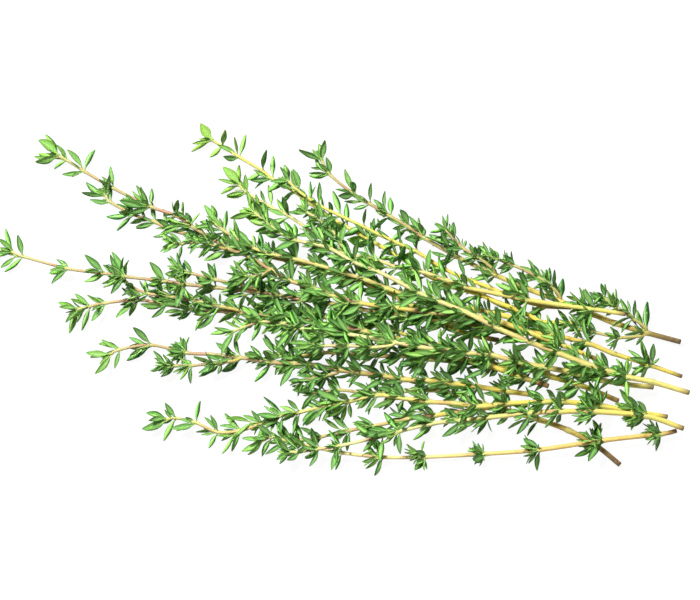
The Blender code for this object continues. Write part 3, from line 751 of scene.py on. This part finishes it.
def hides_stem(leaf, spur):
    """Whether a small leaf lies far along the top of the stem that its spur stands beside."""
    if spur.forward is None or leaf.middle.z < spur.root.z:
        return False
    if (leaf.tip - spur.root).dot(spur.forward) < TOP_REACH:
        return False
    return abs((leaf.middle - spur.root).cross(spur.forward).z) < TOP_KEPT_CLEAR


def has_room(leaf, stems, crowd):
    """Whether a small leaf stays above the surface and crosses no stem and no other blade."""
    if leaf.tip.z < SMALL_LEAF_CLEAR or leaf.middle.z < SMALL_LEAF_CLEAR:
        return False
    core = leaf_core(leaf)
    if any(stem.tree.overlap(core) for stem in stems):
        return False
    if any(other.core.overlap(core) for other in crowd.near(leaf)):
        return False
    leaf.core = core
    return True


def grow_spur(spur, pairs, draw, stems, crowd):
    """Adds the leaf pairs of a spur that have room, each turned a quarter from the last."""
    side = spur.axis.orthogonal().normalized()
    roll = draw.uniform(0, 180)
    for place, share, opening in pairs:
        roll += 90
        for half in (0, 180):
            length = spur.size * share * draw.uniform(*SMALL_SIZE)
            width = length * draw.uniform(*SMALL_WIDTH_RATIO)
            twist = draw.uniform(*SMALL_TWIST)
            lean = opening + draw.uniform(-SMALL_LEAN, SMALL_LEAN)
            for turn, shorten in SMALL_TRIES:
                outward = Quaternion(spur.axis, math.radians(roll + half + turn)) @ side
                leaf = SmallLeaf(spur, place * spur.size, outward, lean,
                                 length * shorten, width * shorten, twist)
                if not hides_stem(leaf, spur) and has_room(leaf, stems, crowd):
                    crowd.keep(leaf)
                    spur.stem.small_leaves.append(leaf)
                    spur.length = max(spur.length, place * spur.size)
                    break


def fullness(stem, k):
    """How full the tufts at a node are: 1 in the middle of the bundle, 0 at its edge and tips."""
    if k in FULL_NODES.get(stem.name, ()):
        return 1.0
    node = stem.nodes[k]
    x = (node.x - FULL_MIDDLE[0]) / FULL_REACH[0]
    y = (node.y - FULL_MIDDLE[1]) / FULL_REACH[1]
    young = smoothstep(FULL_UNTIL, 1.0, k / (len(stem.nodes) - 1))
    return SPRIG_FULLNESS.get(stem.name, 1.0) * max(0.0, 1 - x * x - y * y) * (1 - young)


def youth(stem, k):
    """How yellow and pale the leaves at node k are."""
    share = k / (len(stem.nodes) - 1)
    return TIP_YOUTH.get(stem.name, COMMON_YOUTH) * smoothstep(YOUNG_FROM, 1.0, share)


def add_spur(stem, k, angle, kind, draw, stems, crowd):
    """Adds a spur of one kind at node k, at an angle in degrees round the stem from its side."""
    turn_range, opening, size, fewest, most, chances = kind
    full = fullness(stem, k)
    chance = chances[0] + (chances[1] - chances[0]) * full
    chance *= min(1.0, SPARSEST + SPRIG_FULLNESS.get(stem.name, 1.0))
    pairs = round(fewest + (most - fewest) * full + draw.uniform(-PAIRS_RANGE, PAIRS_RANGE))
    outward = turned_direction(stem, k, angle + draw.uniform(-turn_range, turn_range))
    lean = math.radians(draw.uniform(*opening))
    forward = stem.forwards[k]
    length = stem.longest_leaf * draw.uniform(*size) * (1 + FULL_GROWTH * full)
    spur = Spur(
        stem,
        stem.nodes[k] + outward * stem.radii[k] * SPUR_FOOT + forward * COLLAR / 2,
        forward * math.cos(lean) + outward * math.sin(lean),
        length * SPUR_SIZES.get(stem.name, 1.0),
        draw.uniform(*SPUR_YOUTH) + youth(stem, k),
        forward,
    )
    shift = STALKED_SHIFT if draw.random() < STALKED_CHANCE else 0.0
    if draw.random() < chance:
        places = [(place + shift, share, opening) for place, share, opening in SPUR_PAIRS]
        grow_spur(spur, places[:max(pairs, 1)], draw, stems, crowd)
        stem.spurs.append(spur)


def grow_tufts(stems, crowd):
    """Spurs with tufts of small leaves all round each node, and a bud of them at each tip."""
    for main_leaf in crowd.all():
        main_leaf.core = leaf_core(main_leaf)
    for stem in stems:
        draw = random.Random(f"{SEED} {stem.name} tufts")
        last = len(stem.nodes) - 1
        for k in range(1, last):
            if k in BARE_NODES.get(stem.name, ()):
                continue
            in_axils, between = FACE_ANGLES[k % 2], FACE_ANGLES[(k + 1) % 2]
            around = [(AXIL_SPUR, in_axils), (TOP_SPUR, TOP_ANGLES), (LATE_SPUR, between)]
            if k in FULL_NODES.get(stem.name, ()):
                around.append((WIDE_SPUR, WIDE_ANGLES))
            for kind, angles in around:
                for angle in angles:
                    add_spur(stem, k, angle, kind, draw, stems, crowd)
        young = draw.uniform(*BUD_YOUTH) + youth(stem, last) / 2
        bud = Spur(stem, stem.nodes[last], stem.forwards[last], BUD_SIZE, young)
        grow_spur(bud, BUD_PAIRS, draw, stems, crowd)
        stem.spurs.append(bud)


# ---------------------------------------------------------------- meshes


class Skin:
    """The points and faces of a piece, its flat map, and the vectors that its material reads.

    A cell is a place on the map: the left and lower edge, the width and the height.
    """

    def __init__(self):
        self.points = []
        self.faces = []
        self.corners = []
        self.vectors = {}

    def extend(self, points, **vectors):
        """Adds points with their named vectors, and gives the first one's index."""
        first = sum(len(part) for part in self.points)
        self.points.append(points)
        for name, values in vectors.items():
            self.vectors.setdefault(name, []).append(values)
        return first

    def band(self, low, high, sides, cell):
        """Joins two rings of points, which start at low and high."""
        x, y, w, h = cell
        for i in range(sides):
            j = (i + 1) % sides
            self.faces.append((low + i, low + j, high + j, high + i))
            u0, u1 = x + w * i / sides, x + w * (i + 1) / sides
            self.corners += [(u0, y), (u1, y), (u1, y + h), (u0, y + h)]

    def fan(self, ring, tip, sides, cell):
        """Joins the ring of points that starts at ring to the point tip."""
        x, y, w, h = cell
        for i in range(sides):
            self.faces.append((ring + i, ring + (i + 1) % sides, tip))
            u0, u1 = x + w * i / sides, x + w * (i + 1) / sides
            self.corners += [(u0, y), (u1, y), ((u0 + u1) / 2, y + h)]

    def sleeve(self, base, sides, heights, cell):
        """Closes rings of points from base on and the tip point after them into one surface.

        The rings' heights in the cell are shares of its own height.
        """
        x, y, w, h = cell
        ring = base
        for low, high in zip(heights, heights[1:]):
            self.band(ring, ring + sides, sides, (x, y + h * low, w, h * (high - low)))
            ring += sides
        top = heights[-1]
        self.fan(ring, ring + sides, sides, (x, y + h * top, w, h * (1 - top)))
        self.faces.append(tuple(base + i for i in reversed(range(sides))))
        self.corners += [(x + w * i / sides, y) for i in reversed(range(sides))]


def add_object(name, data):
    thing = bpy.data.objects.new(name, data)
    bpy.context.scene.collection.objects.link(thing)
    return thing


def add_mesh(name, points, faces, material):
    mesh = bpy.data.meshes.new(name)
    mesh.from_pydata(points, [], faces)
    mesh.materials.append(material)
    return add_object(name, mesh)


def make_piece(stem, ending, skin, material):
    """A smooth mesh object that rides on the model and stands for the stem's CAD node."""
    node = f"sprig_{stem.name}"
    points = (np.vstack(skin.points) * MM).tolist()
    piece = add_mesh(f"{node}_{ending}", points, skin.faces, material)
    piece.data.shade_smooth()
    for name, parts in skin.vectors.items():
        attribute = piece.data.attributes.new(name, "FLOAT_VECTOR", "POINT")
        attribute.data.foreach_set("vector", np.vstack(parts).astype(np.float32).ravel())
    layer = piece.data.uv_layers.new(name="OFBake")
    layer.data.foreach_set("uv", np.asarray(skin.corners, np.float32).ravel())
    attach(piece, "root")
    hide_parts(node)


def smooth_curve(points, step):
    """Points about step apart on a Catmull-Rom curve, and each given point's distance along it."""
    knots = [2 * points[0] - points[1], *points, 2 * points[-1] - points[-2]]
    curve = []
    marks = [0.0]
    for a, b, c, d in zip(knots, knots[1:], knots[2:], knots[3:]):
        count = max(2, round(math.dist(b, c) / step))
        for n in range(count):
            t = n / count
            curve.append(0.5 * (2 * b + (c - a) * t + (2 * a - 5 * b + 4 * c - d) * t ** 2
                                + (3 * b - a - 3 * c + d) * t ** 3))
        marks.append(len(curve))
    curve.append(points[-1])
    curve = np.array(curve)
    along = np.concatenate(([0.0], np.cumsum(np.linalg.norm(np.diff(curve, axis=0), axis=1))))
    return curve, along, along[np.array(marks, int)]


def smoothstep(low, high, x):
    t = np.clip((x - low) / (high - low), 0, 1)
    return t * t * (3 - 2 * t)


def unit(vectors):
    return vectors / np.linalg.norm(vectors, axis=-1, keepdims=True)


def rings_of(centres, side, up, radii, turn):
    """Rings of points about centres, at angles turn from side to up; a radius for each point."""
    across = side[:, None] * np.cos(turn)[None, :, None] + up[:, None] * np.sin(turn)[None, :, None]
    return centres[:, None] + across * radii[..., None]


def blended(colour, over, share):
    """Colours with another one laid over them, as strong at each ring as share says."""
    return colour + (np.array(over) - colour) * share[:, None]


def stem_colours(stem, along, marks):
    """The colour of each ring of a stem, from its cut end to its tip."""
    reach, cut, lower, upper = STEM_COLOURS[STEM_KINDS[stem.name.split("_")[0]]]
    share = along / along[-1]
    if stem.is_shoot:
        share = SHOOT_COLOUR_START + (1 - SHOOT_COLOUR_START) * share
    colour = blended(np.array(lower), upper, smoothstep(*UPPER_FROM, share))
    if not stem.is_shoot:
        colour = blended(colour, cut, 1 - smoothstep(0.0, reach, along))
    draw = np.random.default_rng(len(stem.nodes) * 7 + ord(stem.name[0]))
    pinkness = SPRIG_PURPLE.get(stem.name, 1.0)
    for mark in marks[1:]:
        ahead = along - mark
        purple = smoothstep(*PURPLE_RISE, ahead) * (1 - smoothstep(*PURPLE_FALL, ahead))
        strength = draw.uniform(*PURPLE_RANGE) * smoothstep(*PURPLE_FROM, mark / along[-1])
        colour = blended(colour, NODE_PURPLE, purple * min(PURPLE_MOST, strength * pinkness))
        colour = blended(colour, NODE_GREEN, np.exp(-(ahead / GREEN_REACH) ** 2) * GREEN_MOST)
    return blended(colour, NODE_GREEN, smoothstep(TIP_GREEN_FROM, 1.0, share) * TIP_GREEN_MOST)


def stem_radii(stem, along, marks):
    """The radius at each ring of a stem: tapering, thinner again at its foot, swollen at nodes."""
    start = stem.start * STEM_THICKNESS.get(stem.name, 1.0)
    radius = start + (TIP_RADIUS - start) * (along / along[-1]) ** STEM_TAPER
    radius *= FOOT_THINNESS + (1 - FOOT_THINNESS) * smoothstep(0.0, THICKENING, along)
    if stem.is_shoot:
        radius *= AXIL_THINNESS + (1 - AXIL_THINNESS) * smoothstep(0.0, AXIL_REACH, along)
    for mark in marks[1:]:
        radius *= 1 + NODE_SWELL * np.exp(-((along - mark) / NODE_SWELL_LENGTH) ** 2)
    return radius


def map_wall(skin, count, slenderness):
    """Faces and map of a tube's wall of count rings, laid on the map in strips side by side."""
    strips = max(1, round(math.sqrt(slenderness)))
    per_strip = math.ceil((count - 1) / strips)
    width, height = WALL_CELL
    for r in range(count - 1):
        strip, row = divmod(r, per_strip)
        cell = (strip / strips, row / per_strip * height, width / strips, height / per_strip)
        skin.band(r * STEM_SIDES, (r + 1) * STEM_SIDES, STEM_SIDES, cell)


def make_stem(stem, material):
    """A rounded square stem that swells at its nodes and ends in a plain cut."""
    route = [np.array(node) for node in stem.nodes]
    if stem.is_shoot:
        route = [np.array(stem.axil), *route]
    curve, along, marks = smooth_curve(route, STEM_STEP)
    if stem.is_shoot:
        marks = marks[1:]
    forwards = unit(np.gradient(curve, axis=0))
    up = unit(np.array((0, 0, 1.0)) - forwards * forwards[:, 2:])
    turn = np.arange(STEM_SIDES) * 2 * math.pi / STEM_SIDES
    faced = turn - math.pi / 4
    square = np.abs(np.cos(faced)) ** STEM_SQUARENESS + np.abs(np.sin(faced)) ** STEM_SQUARENESS
    section = STEM_FULLNESS / square ** (1 / STEM_SQUARENESS)
    radii = stem_radii(stem, along, marks)[:, None] * section[None, :]
    rings = rings_of(curve, np.cross(up, forwards), up, radii, turn)
    pith = curve[0] + (rings[0] - curve[0]) * PITH_SIZE + forwards[0] * PITH_DEPTH
    tip = rings[-1].mean(axis=0)[None] + forwards[-1] * STEM_TIP
    colours = np.repeat(stem_colours(stem, along, marks), STEM_SIDES, axis=0)
    pith_colours = colours[:STEM_SIDES] if stem.is_shoot else np.tile(PITH_COLOUR, (STEM_SIDES, 1))
    count = len(curve)
    streak = np.column_stack([np.repeat(along * STREAK_SHORTENING, STEM_SIDES),
                              np.tile(np.cos(turn), count), np.tile(np.sin(turn), count)])
    skin = Skin()
    skin.extend(
        np.vstack([rings.reshape(-1, 3), pith, tip]),
        stem_colour=np.vstack([colours, pith_colours, colours[-1:]]),
        stem_streak=np.vstack([streak, streak[:STEM_SIDES] * PITH_SIZE, streak[-1:]]),
    )
    girth = 2 * math.pi * stem.start * STEM_THICKNESS.get(stem.name, 1.0) * MEAN_THICKNESS
    map_wall(skin, count, along[-1] / girth)
    rim = count * STEM_SIDES
    skin.band(rim, 0, STEM_SIDES, RIM_CELL)
    skin.faces.append(tuple(rim + i for i in reversed(range(STEM_SIDES))))
    x, y, size = PITH_DISC
    skin.corners += [(x + size * math.cos(t), y + size * math.sin(t)) for t in reversed(turn)]
    skin.fan(rim - STEM_SIDES, rim + STEM_SIDES, STEM_SIDES, TIP_CELL)
    make_piece(stem, "stem", skin, material)


def half_width(u):
    """The half width of a leaf at a share u of its length, against its widest half width."""
    share = np.clip((u - BLADE_START) / (1 - BLADE_START), 0, 1)
    foot_shape, blunting = BLADE_SHAPE
    blade = np.sin(np.pi * share ** BLADE_FULLEST) ** (foot_shape - blunting * share)
    foot = PETIOLE_WIDTH * (1 - smoothstep(BLADE_START, PETIOLE_END, u))
    return np.maximum(blade, foot)


def blade_arrays(leaves, rows, draw):
    """Points of many leaves with the same rows, as (leaf, row, outline point, xyz)."""
    u = np.array(rows)
    outline = np.array(BLADE_OUTLINE, float)
    along, outer, back = (
        np.array([getattr(leaf, name) for leaf in leaves]) for name in ("along", "outer", "across")
    )
    face, across = -outer, -back
    root = np.array([leaf.root - leaf.along * FOOT_INSIDE_STEM for leaf in leaves])
    length = np.array([leaf.length for leaf in leaves]) + FOOT_INSIDE_STEM
    half = np.array([leaf.width * leaf.broadness for leaf in leaves]) / 2
    bend = draw.uniform(*BLADE_BEND, len(leaves))
    sway = draw.uniform(-BLADE_SWAY, BLADE_SWAY, len(leaves))
    droop = -bend[:, None] * u[None] ** BEND_GROWTH
    swing = sway[:, None] * u[None]
    tangent = (along[:, None] * (np.cos(droop) * np.cos(swing))[..., None]
               + face[:, None] * np.sin(droop)[..., None]
               + across[:, None] * np.sin(swing)[..., None])
    steps = np.diff(u, prepend=0.0)
    spine = root[:, None] + np.cumsum(tangent * steps[None, :, None], axis=1) * length[:, None, None]
    normal = (face[:, None] * np.cos(droop)[..., None] - along[:, None] * np.sin(droop)[..., None])
    wide = across[:, None] - tangent * (across[:, None] * tangent).sum(-1, keepdims=True)
    wide = unit(wide)
    turn = draw.uniform(-BLADE_TURN, BLADE_TURN, len(leaves))[:, None, None] * u[None, :, None]
    wide, normal = (wide * np.cos(turn) + normal * np.sin(turn),
                    normal * np.cos(turn) - wide * np.sin(turn))
    width = half[:, None] * half_width(u)[None]
    cup = draw.uniform(*BLADE_CUP, len(leaves))[:, None, None]
    lift = outline[None, None, :, 1] - cup * outline[None, None, :, 0] ** 2
    thick = half[:, None] * (FOOT_THICKNESS + (1 - FOOT_THICKNESS) * half_width(u))[None]
    points = (spine[:, :, None]
              + wide[:, :, None] * (width[:, :, None] * outline[None, None, :, 0])[..., None]
              + normal[:, :, None] * (thick[:, :, None] * lift)[..., None])
    tips = spine[:, -1] + tangent[:, -1] * (length * (1 - u[-1]))[:, None]
    return points, tips


def pressed(points):
    """Points with those near the surface moved up, so that none is below it."""
    low = points[..., 2] < PRESSED_BELOW
    points[low, 2] = PRESSED_BELOW * np.exp(points[low, 2] / PRESSED_BELOW - 1)
    return points


def leaf_cell(n, count):
    """Lower left corner and size of leaf n's cell in the flat map of count leaves."""
    columns = math.ceil(math.sqrt(count * LEAF_COLUMNS))
    lines = math.ceil(count / columns)
    return (n % columns) / columns, (n // columns) / lines, CELL_FILL / columns, CELL_FILL / lines


def add_leaves(skin, cells, leaves, rows, draw):
    """Adds many leaves with the same rows to a skin, each with a cell of the map."""
    grid, tips = blade_arrays(leaves, rows, draw)
    number, _, sides = grid.shape[:3]
    grid = np.concatenate([grid.reshape(number, -1, 3), tips[:, None]], axis=1)
    # The sprig's own tone, and painted shade for the sprigs that lie low in the heap.
    tone_and_shade = SPRIG_TONE_AND_SHADE.get(leaves[0].stem.name.split("_")[0], 0.0)
    tint = np.clip(draw.uniform(0, 1, number) + tone_and_shade, 0, 1)
    shade = np.clip(draw.uniform(0, 1, number) + tone_and_shade, 0, 1)
    young = np.clip([leaf.young for leaf in leaves], 0, 1)
    blade = [(u, x, under) for u in rows for (x, _), under in zip(BLADE_OUTLINE, UNDERSIDE)]
    blade.append((1.0, 0.0, UNDERSIDE[0]))
    first = skin.extend(
        pressed(grid.reshape(-1, 3)),
        blade=np.tile(blade, (number, 1)),
        leaf=np.repeat(np.column_stack([tint, young, shade]), len(blade), axis=0),
    )
    for n in range(number):
        skin.sleeve(first + n * len(blade), sides, rows, next(cells))


def add_stalks(skin, cells, spurs):
    """Adds the spurs' own thin stalks to a skin, each with a cell of the map."""
    turn = np.arange(STALK_SIDES) * 2 * math.pi / STALK_SIDES
    radii = np.repeat(np.array(STALK_TAPER)[:, None] * STALK_RADIUS, STALK_SIDES, axis=1)
    points = []
    for spur in spurs:
        side = spur.axis.orthogonal().normalized()
        reach = spur.length + STALK_END
        places = (-STALK_INSIDE, reach / 2, reach)
        centres = np.array([spur.root + spur.axis * place for place in places])
        sides, ups = np.array([side] * 3), np.array([spur.axis.cross(side)] * 3)
        points.append(rings_of(centres, sides, ups, radii, turn).reshape(-1, 3))
        points.append(np.array([spur.root + spur.axis * (reach + STALK_RADIUS / 2)]))
    per_stalk = len(STALK_TAPER) * STALK_SIDES + 1
    tint, shade = STALK_TINT
    first = skin.extend(
        pressed(np.vstack(points)),
        blade=np.tile(STALK_BLADE, (per_stalk * len(spurs), 1)),
        leaf=np.repeat([(tint, spur.young, shade) for spur in spurs], per_stalk, axis=0),
    )
    for n in range(len(spurs)):
        skin.sleeve(first + n * per_stalk, STALK_SIDES, STALK_ROWS, next(cells))


def make_leaves(stem, material):
    """All the leaves of one stem and the stalks of their tufts, as one piece."""
    draw = np.random.default_rng([SEED, *stem.name.encode()])
    main_leaves = list(stem.leaves.values())
    spurs = [spur for spur in stem.spurs if spur.length]
    count = len(main_leaves) + len(stem.small_leaves) + len(spurs)
    cells = (leaf_cell(n, count) for n in range(count))
    skin = Skin()
    for leaves, rows in ((main_leaves, BLADE_ROWS), (stem.small_leaves, SMALL_ROWS)):
        if leaves:
            add_leaves(skin, cells, leaves, rows, draw)
    if spurs:
        add_stalks(skin, cells, spurs)
    make_piece(stem, "leaves", skin, material)


# ------------------------------------------------------------- materials


class Nodes:
    """Short ways to build a node tree."""

    def __init__(self, tree):
        self.tree = tree

    def put(self, socket, value):
        if isinstance(value, bpy.types.NodeSocket):
            self.tree.links.new(value, socket)
        else:
            socket.default_value = value

    def add(self, kind, inputs, **settings):
        """The outputs of a new node, whose inputs are given by name or place."""
        node = self.tree.nodes.new(f"ShaderNode{kind}")
        for name, value in settings.items():
            setattr(node, name, value)
        for name, value in inputs.items():
            self.put(node.inputs[name], value)
        return node.outputs

    def fade(self, value, low, high, at_low, at_high, kind="LINEAR"):
        """A value turned from the range low to high into the range at_low to at_high."""
        limits = {"From Min": low, "From Max": high, "To Min": at_low, "To Max": at_high}
        return self.add("MapRange", {"Value": value, **limits}, interpolation_type=kind)["Result"]


class Shader(Nodes):
    """A material and the values that its layers read."""

    def __init__(self, name, settings):
        self.material = bpy.data.materials.new(name)
        self.material.use_nodes = True
        super().__init__(self.material.node_tree)
        self.surface = self.tree.nodes["Principled BSDF"].inputs
        self.values = {}
        for socket, value in settings.items():
            self.surface[socket].default_value = value

    def vector(self, name):
        """A named vector of the mesh."""
        return self.add("Attribute", {}, attribute_name=name)["Vector"]

    def math(self, operation, a, b=0.0):
        return self.add("Math", {0: a, 1: b}, operation=operation)[0]

    def step(self, value, low, high):
        """0 below low, 1 above high and smooth between; low may be the larger one."""
        if low > high:
            return self.fade(value, high, low, 1.0, 0.0, "SMOOTHSTEP")
        return self.fade(value, low, high, 0.0, 1.0, "SMOOTHSTEP")

    def mix(self, amount, a, b):
        return self.add("Mix", {0: amount, 6: a, 7: b}, data_type="RGBA")[2]

    def noise(self, scale, detail, vector=None):
        if vector is None:
            vector = self.add("TexCoord", {})["Object"]
        return self.add("TexNoise", {"Scale": scale, "Detail": detail, "Vector": vector})["Fac"]

    def product(self, strength, steps):
        """strength times some of the surface's values, each through a step if it has one."""
        amount = strength
        for name, *limits in steps:
            value = self.values[name]
            value = self.step(value, *limits) if limits else value
            amount = self.math("MULTIPLY", value, amount)
        return amount

    def paint(self, colour, layers):
        """Gives the surface a colour with layers over it."""
        for over, strength, *steps in layers:
            colour = self.mix(self.product(strength, steps), colour, over)
        self.put(self.surface["Base Color"], colour)

    def emboss(self, relief, depth):
        """Gives the surface a fine relief, the sum of its parts."""
        height = 0.0
        for strength, *steps in relief:
            height = self.math("ADD", self.product(strength, steps), height)
        bump = self.add("Bump", {"Distance": depth, "Strength": 1.0, "Height": height})
        self.put(self.surface["Normal"], bump["Normal"])


def leaf_material():
    shader = Shader("thyme_leaf", LEAF_SURFACE)
    along, x, under = shader.add("SeparateXYZ", {0: shader.vector("blade")})
    tint, young, shade = shader.add("SeparateXYZ", {0: shader.vector("leaf")})
    aside = shader.math("ABSOLUTE", x)
    slant = shader.math("MULTIPLY", aside, VEIN_SLANT)
    vein = shader.math("SUBTRACT", shader.math("MULTIPLY", along, VEIN_PAIRS), slant)
    shader.values = {
        "along": along, "aside": aside, "under": under, "young": young, "shade": shade,
        "vein": shader.math("SINE", shader.math("MULTIPLY", vein, 2 * math.pi)),
        "patches": shader.noise(*LEAF_PATCHES), "fine": shader.noise(*LEAF_GRAIN),
    }
    shader.paint(shader.mix(tint, LEAF_DARK, LEAF_MID), LEAF_LAYERS)
    shader.emboss(LEAF_RELIEF, LEAF_RELIEF_DEPTH)
    return shader.material


def stem_material():
    shader = Shader("thyme_stem", STEM_SURFACE)
    shader.values = {
        "streaks": shader.noise(*STEM_STREAKS, shader.vector("stem_streak")),
        "fine": shader.noise(*STEM_GRAIN),
    }
    shader.paint(shader.vector("stem_colour"), STEM_LAYERS)
    shader.emboss(STEM_RELIEF, STEM_RELIEF_DEPTH)
    return shader.material


# ----------------------------------------------------------------- stage


def make_floor():
    reach = FLOOR_SIZE / 2
    corners = [(-reach, -reach, 0), (reach, -reach, 0), (reach, reach, 0), (-reach, reach, 0)]
    material = Shader("pale_floor", FLOOR_SURFACE).material
    add_mesh("floor", corners, [(0, 1, 2, 3)], material)


def make_light(name, place, size, power):
    """A square softbox at place that faces the middle of the bundle."""
    data = bpy.data.lights.new(name, "AREA")
    data.size = size
    data.energy = power
    light = add_object(name, data)
    light.location = place
    light.rotation_euler = (-Vector(place)).to_track_quat("-Z", "Y").to_euler()


def make_sky():
    """A white sky that is bright at the horizon, as a backdrop, and dim overhead."""
    world = bpy.data.worlds.new("soft_white")
    world.use_nodes = True
    nodes = Nodes(world.node_tree)
    direction = nodes.add("TexCoord", {})["Generated"]
    height = nodes.add("SeparateXYZ", {0: direction})["Z"]
    background = world.node_tree.nodes["Background"].inputs
    background["Color"].default_value = (1, 1, 1, 1)
    strength = nodes.fade(height, 0.0, HORIZON_UP_TO, HORIZON_STRENGTH, ZENITH_STRENGTH)
    nodes.put(background["Strength"], strength)
    bpy.context.scene.world = world


def make_camera():
    data = bpy.data.cameras.new("camera")
    data.lens = LENS
    data.sensor_width = SENSOR
    data.clip_start = CLIP_START
    camera = add_object("camera", data)
    camera.location = (*VIEW_CENTRE, VIEW_LEVEL + VIEW_WIDTH * LENS / SENSOR)
    bpy.context.scene.camera = camera


def main():
    make_camera()
    make_floor()
    make_sky()
    for name, place, size, power in LIGHTS:
        make_light(name, place, size, power)
    bpy.context.scene.view_settings.view_transform = "Standard"
    stems = lay_heap()
    for stem in stems:
        stem.tree = stem.tube()
    crowd = grow_leaves(stems)
    grow_tufts(stems, crowd)
    leaf_look = leaf_material()
    stem_look = stem_material()
    for stem in stems:
        make_stem(stem, stem_look)
        make_leaves(stem, leaf_look)


main()
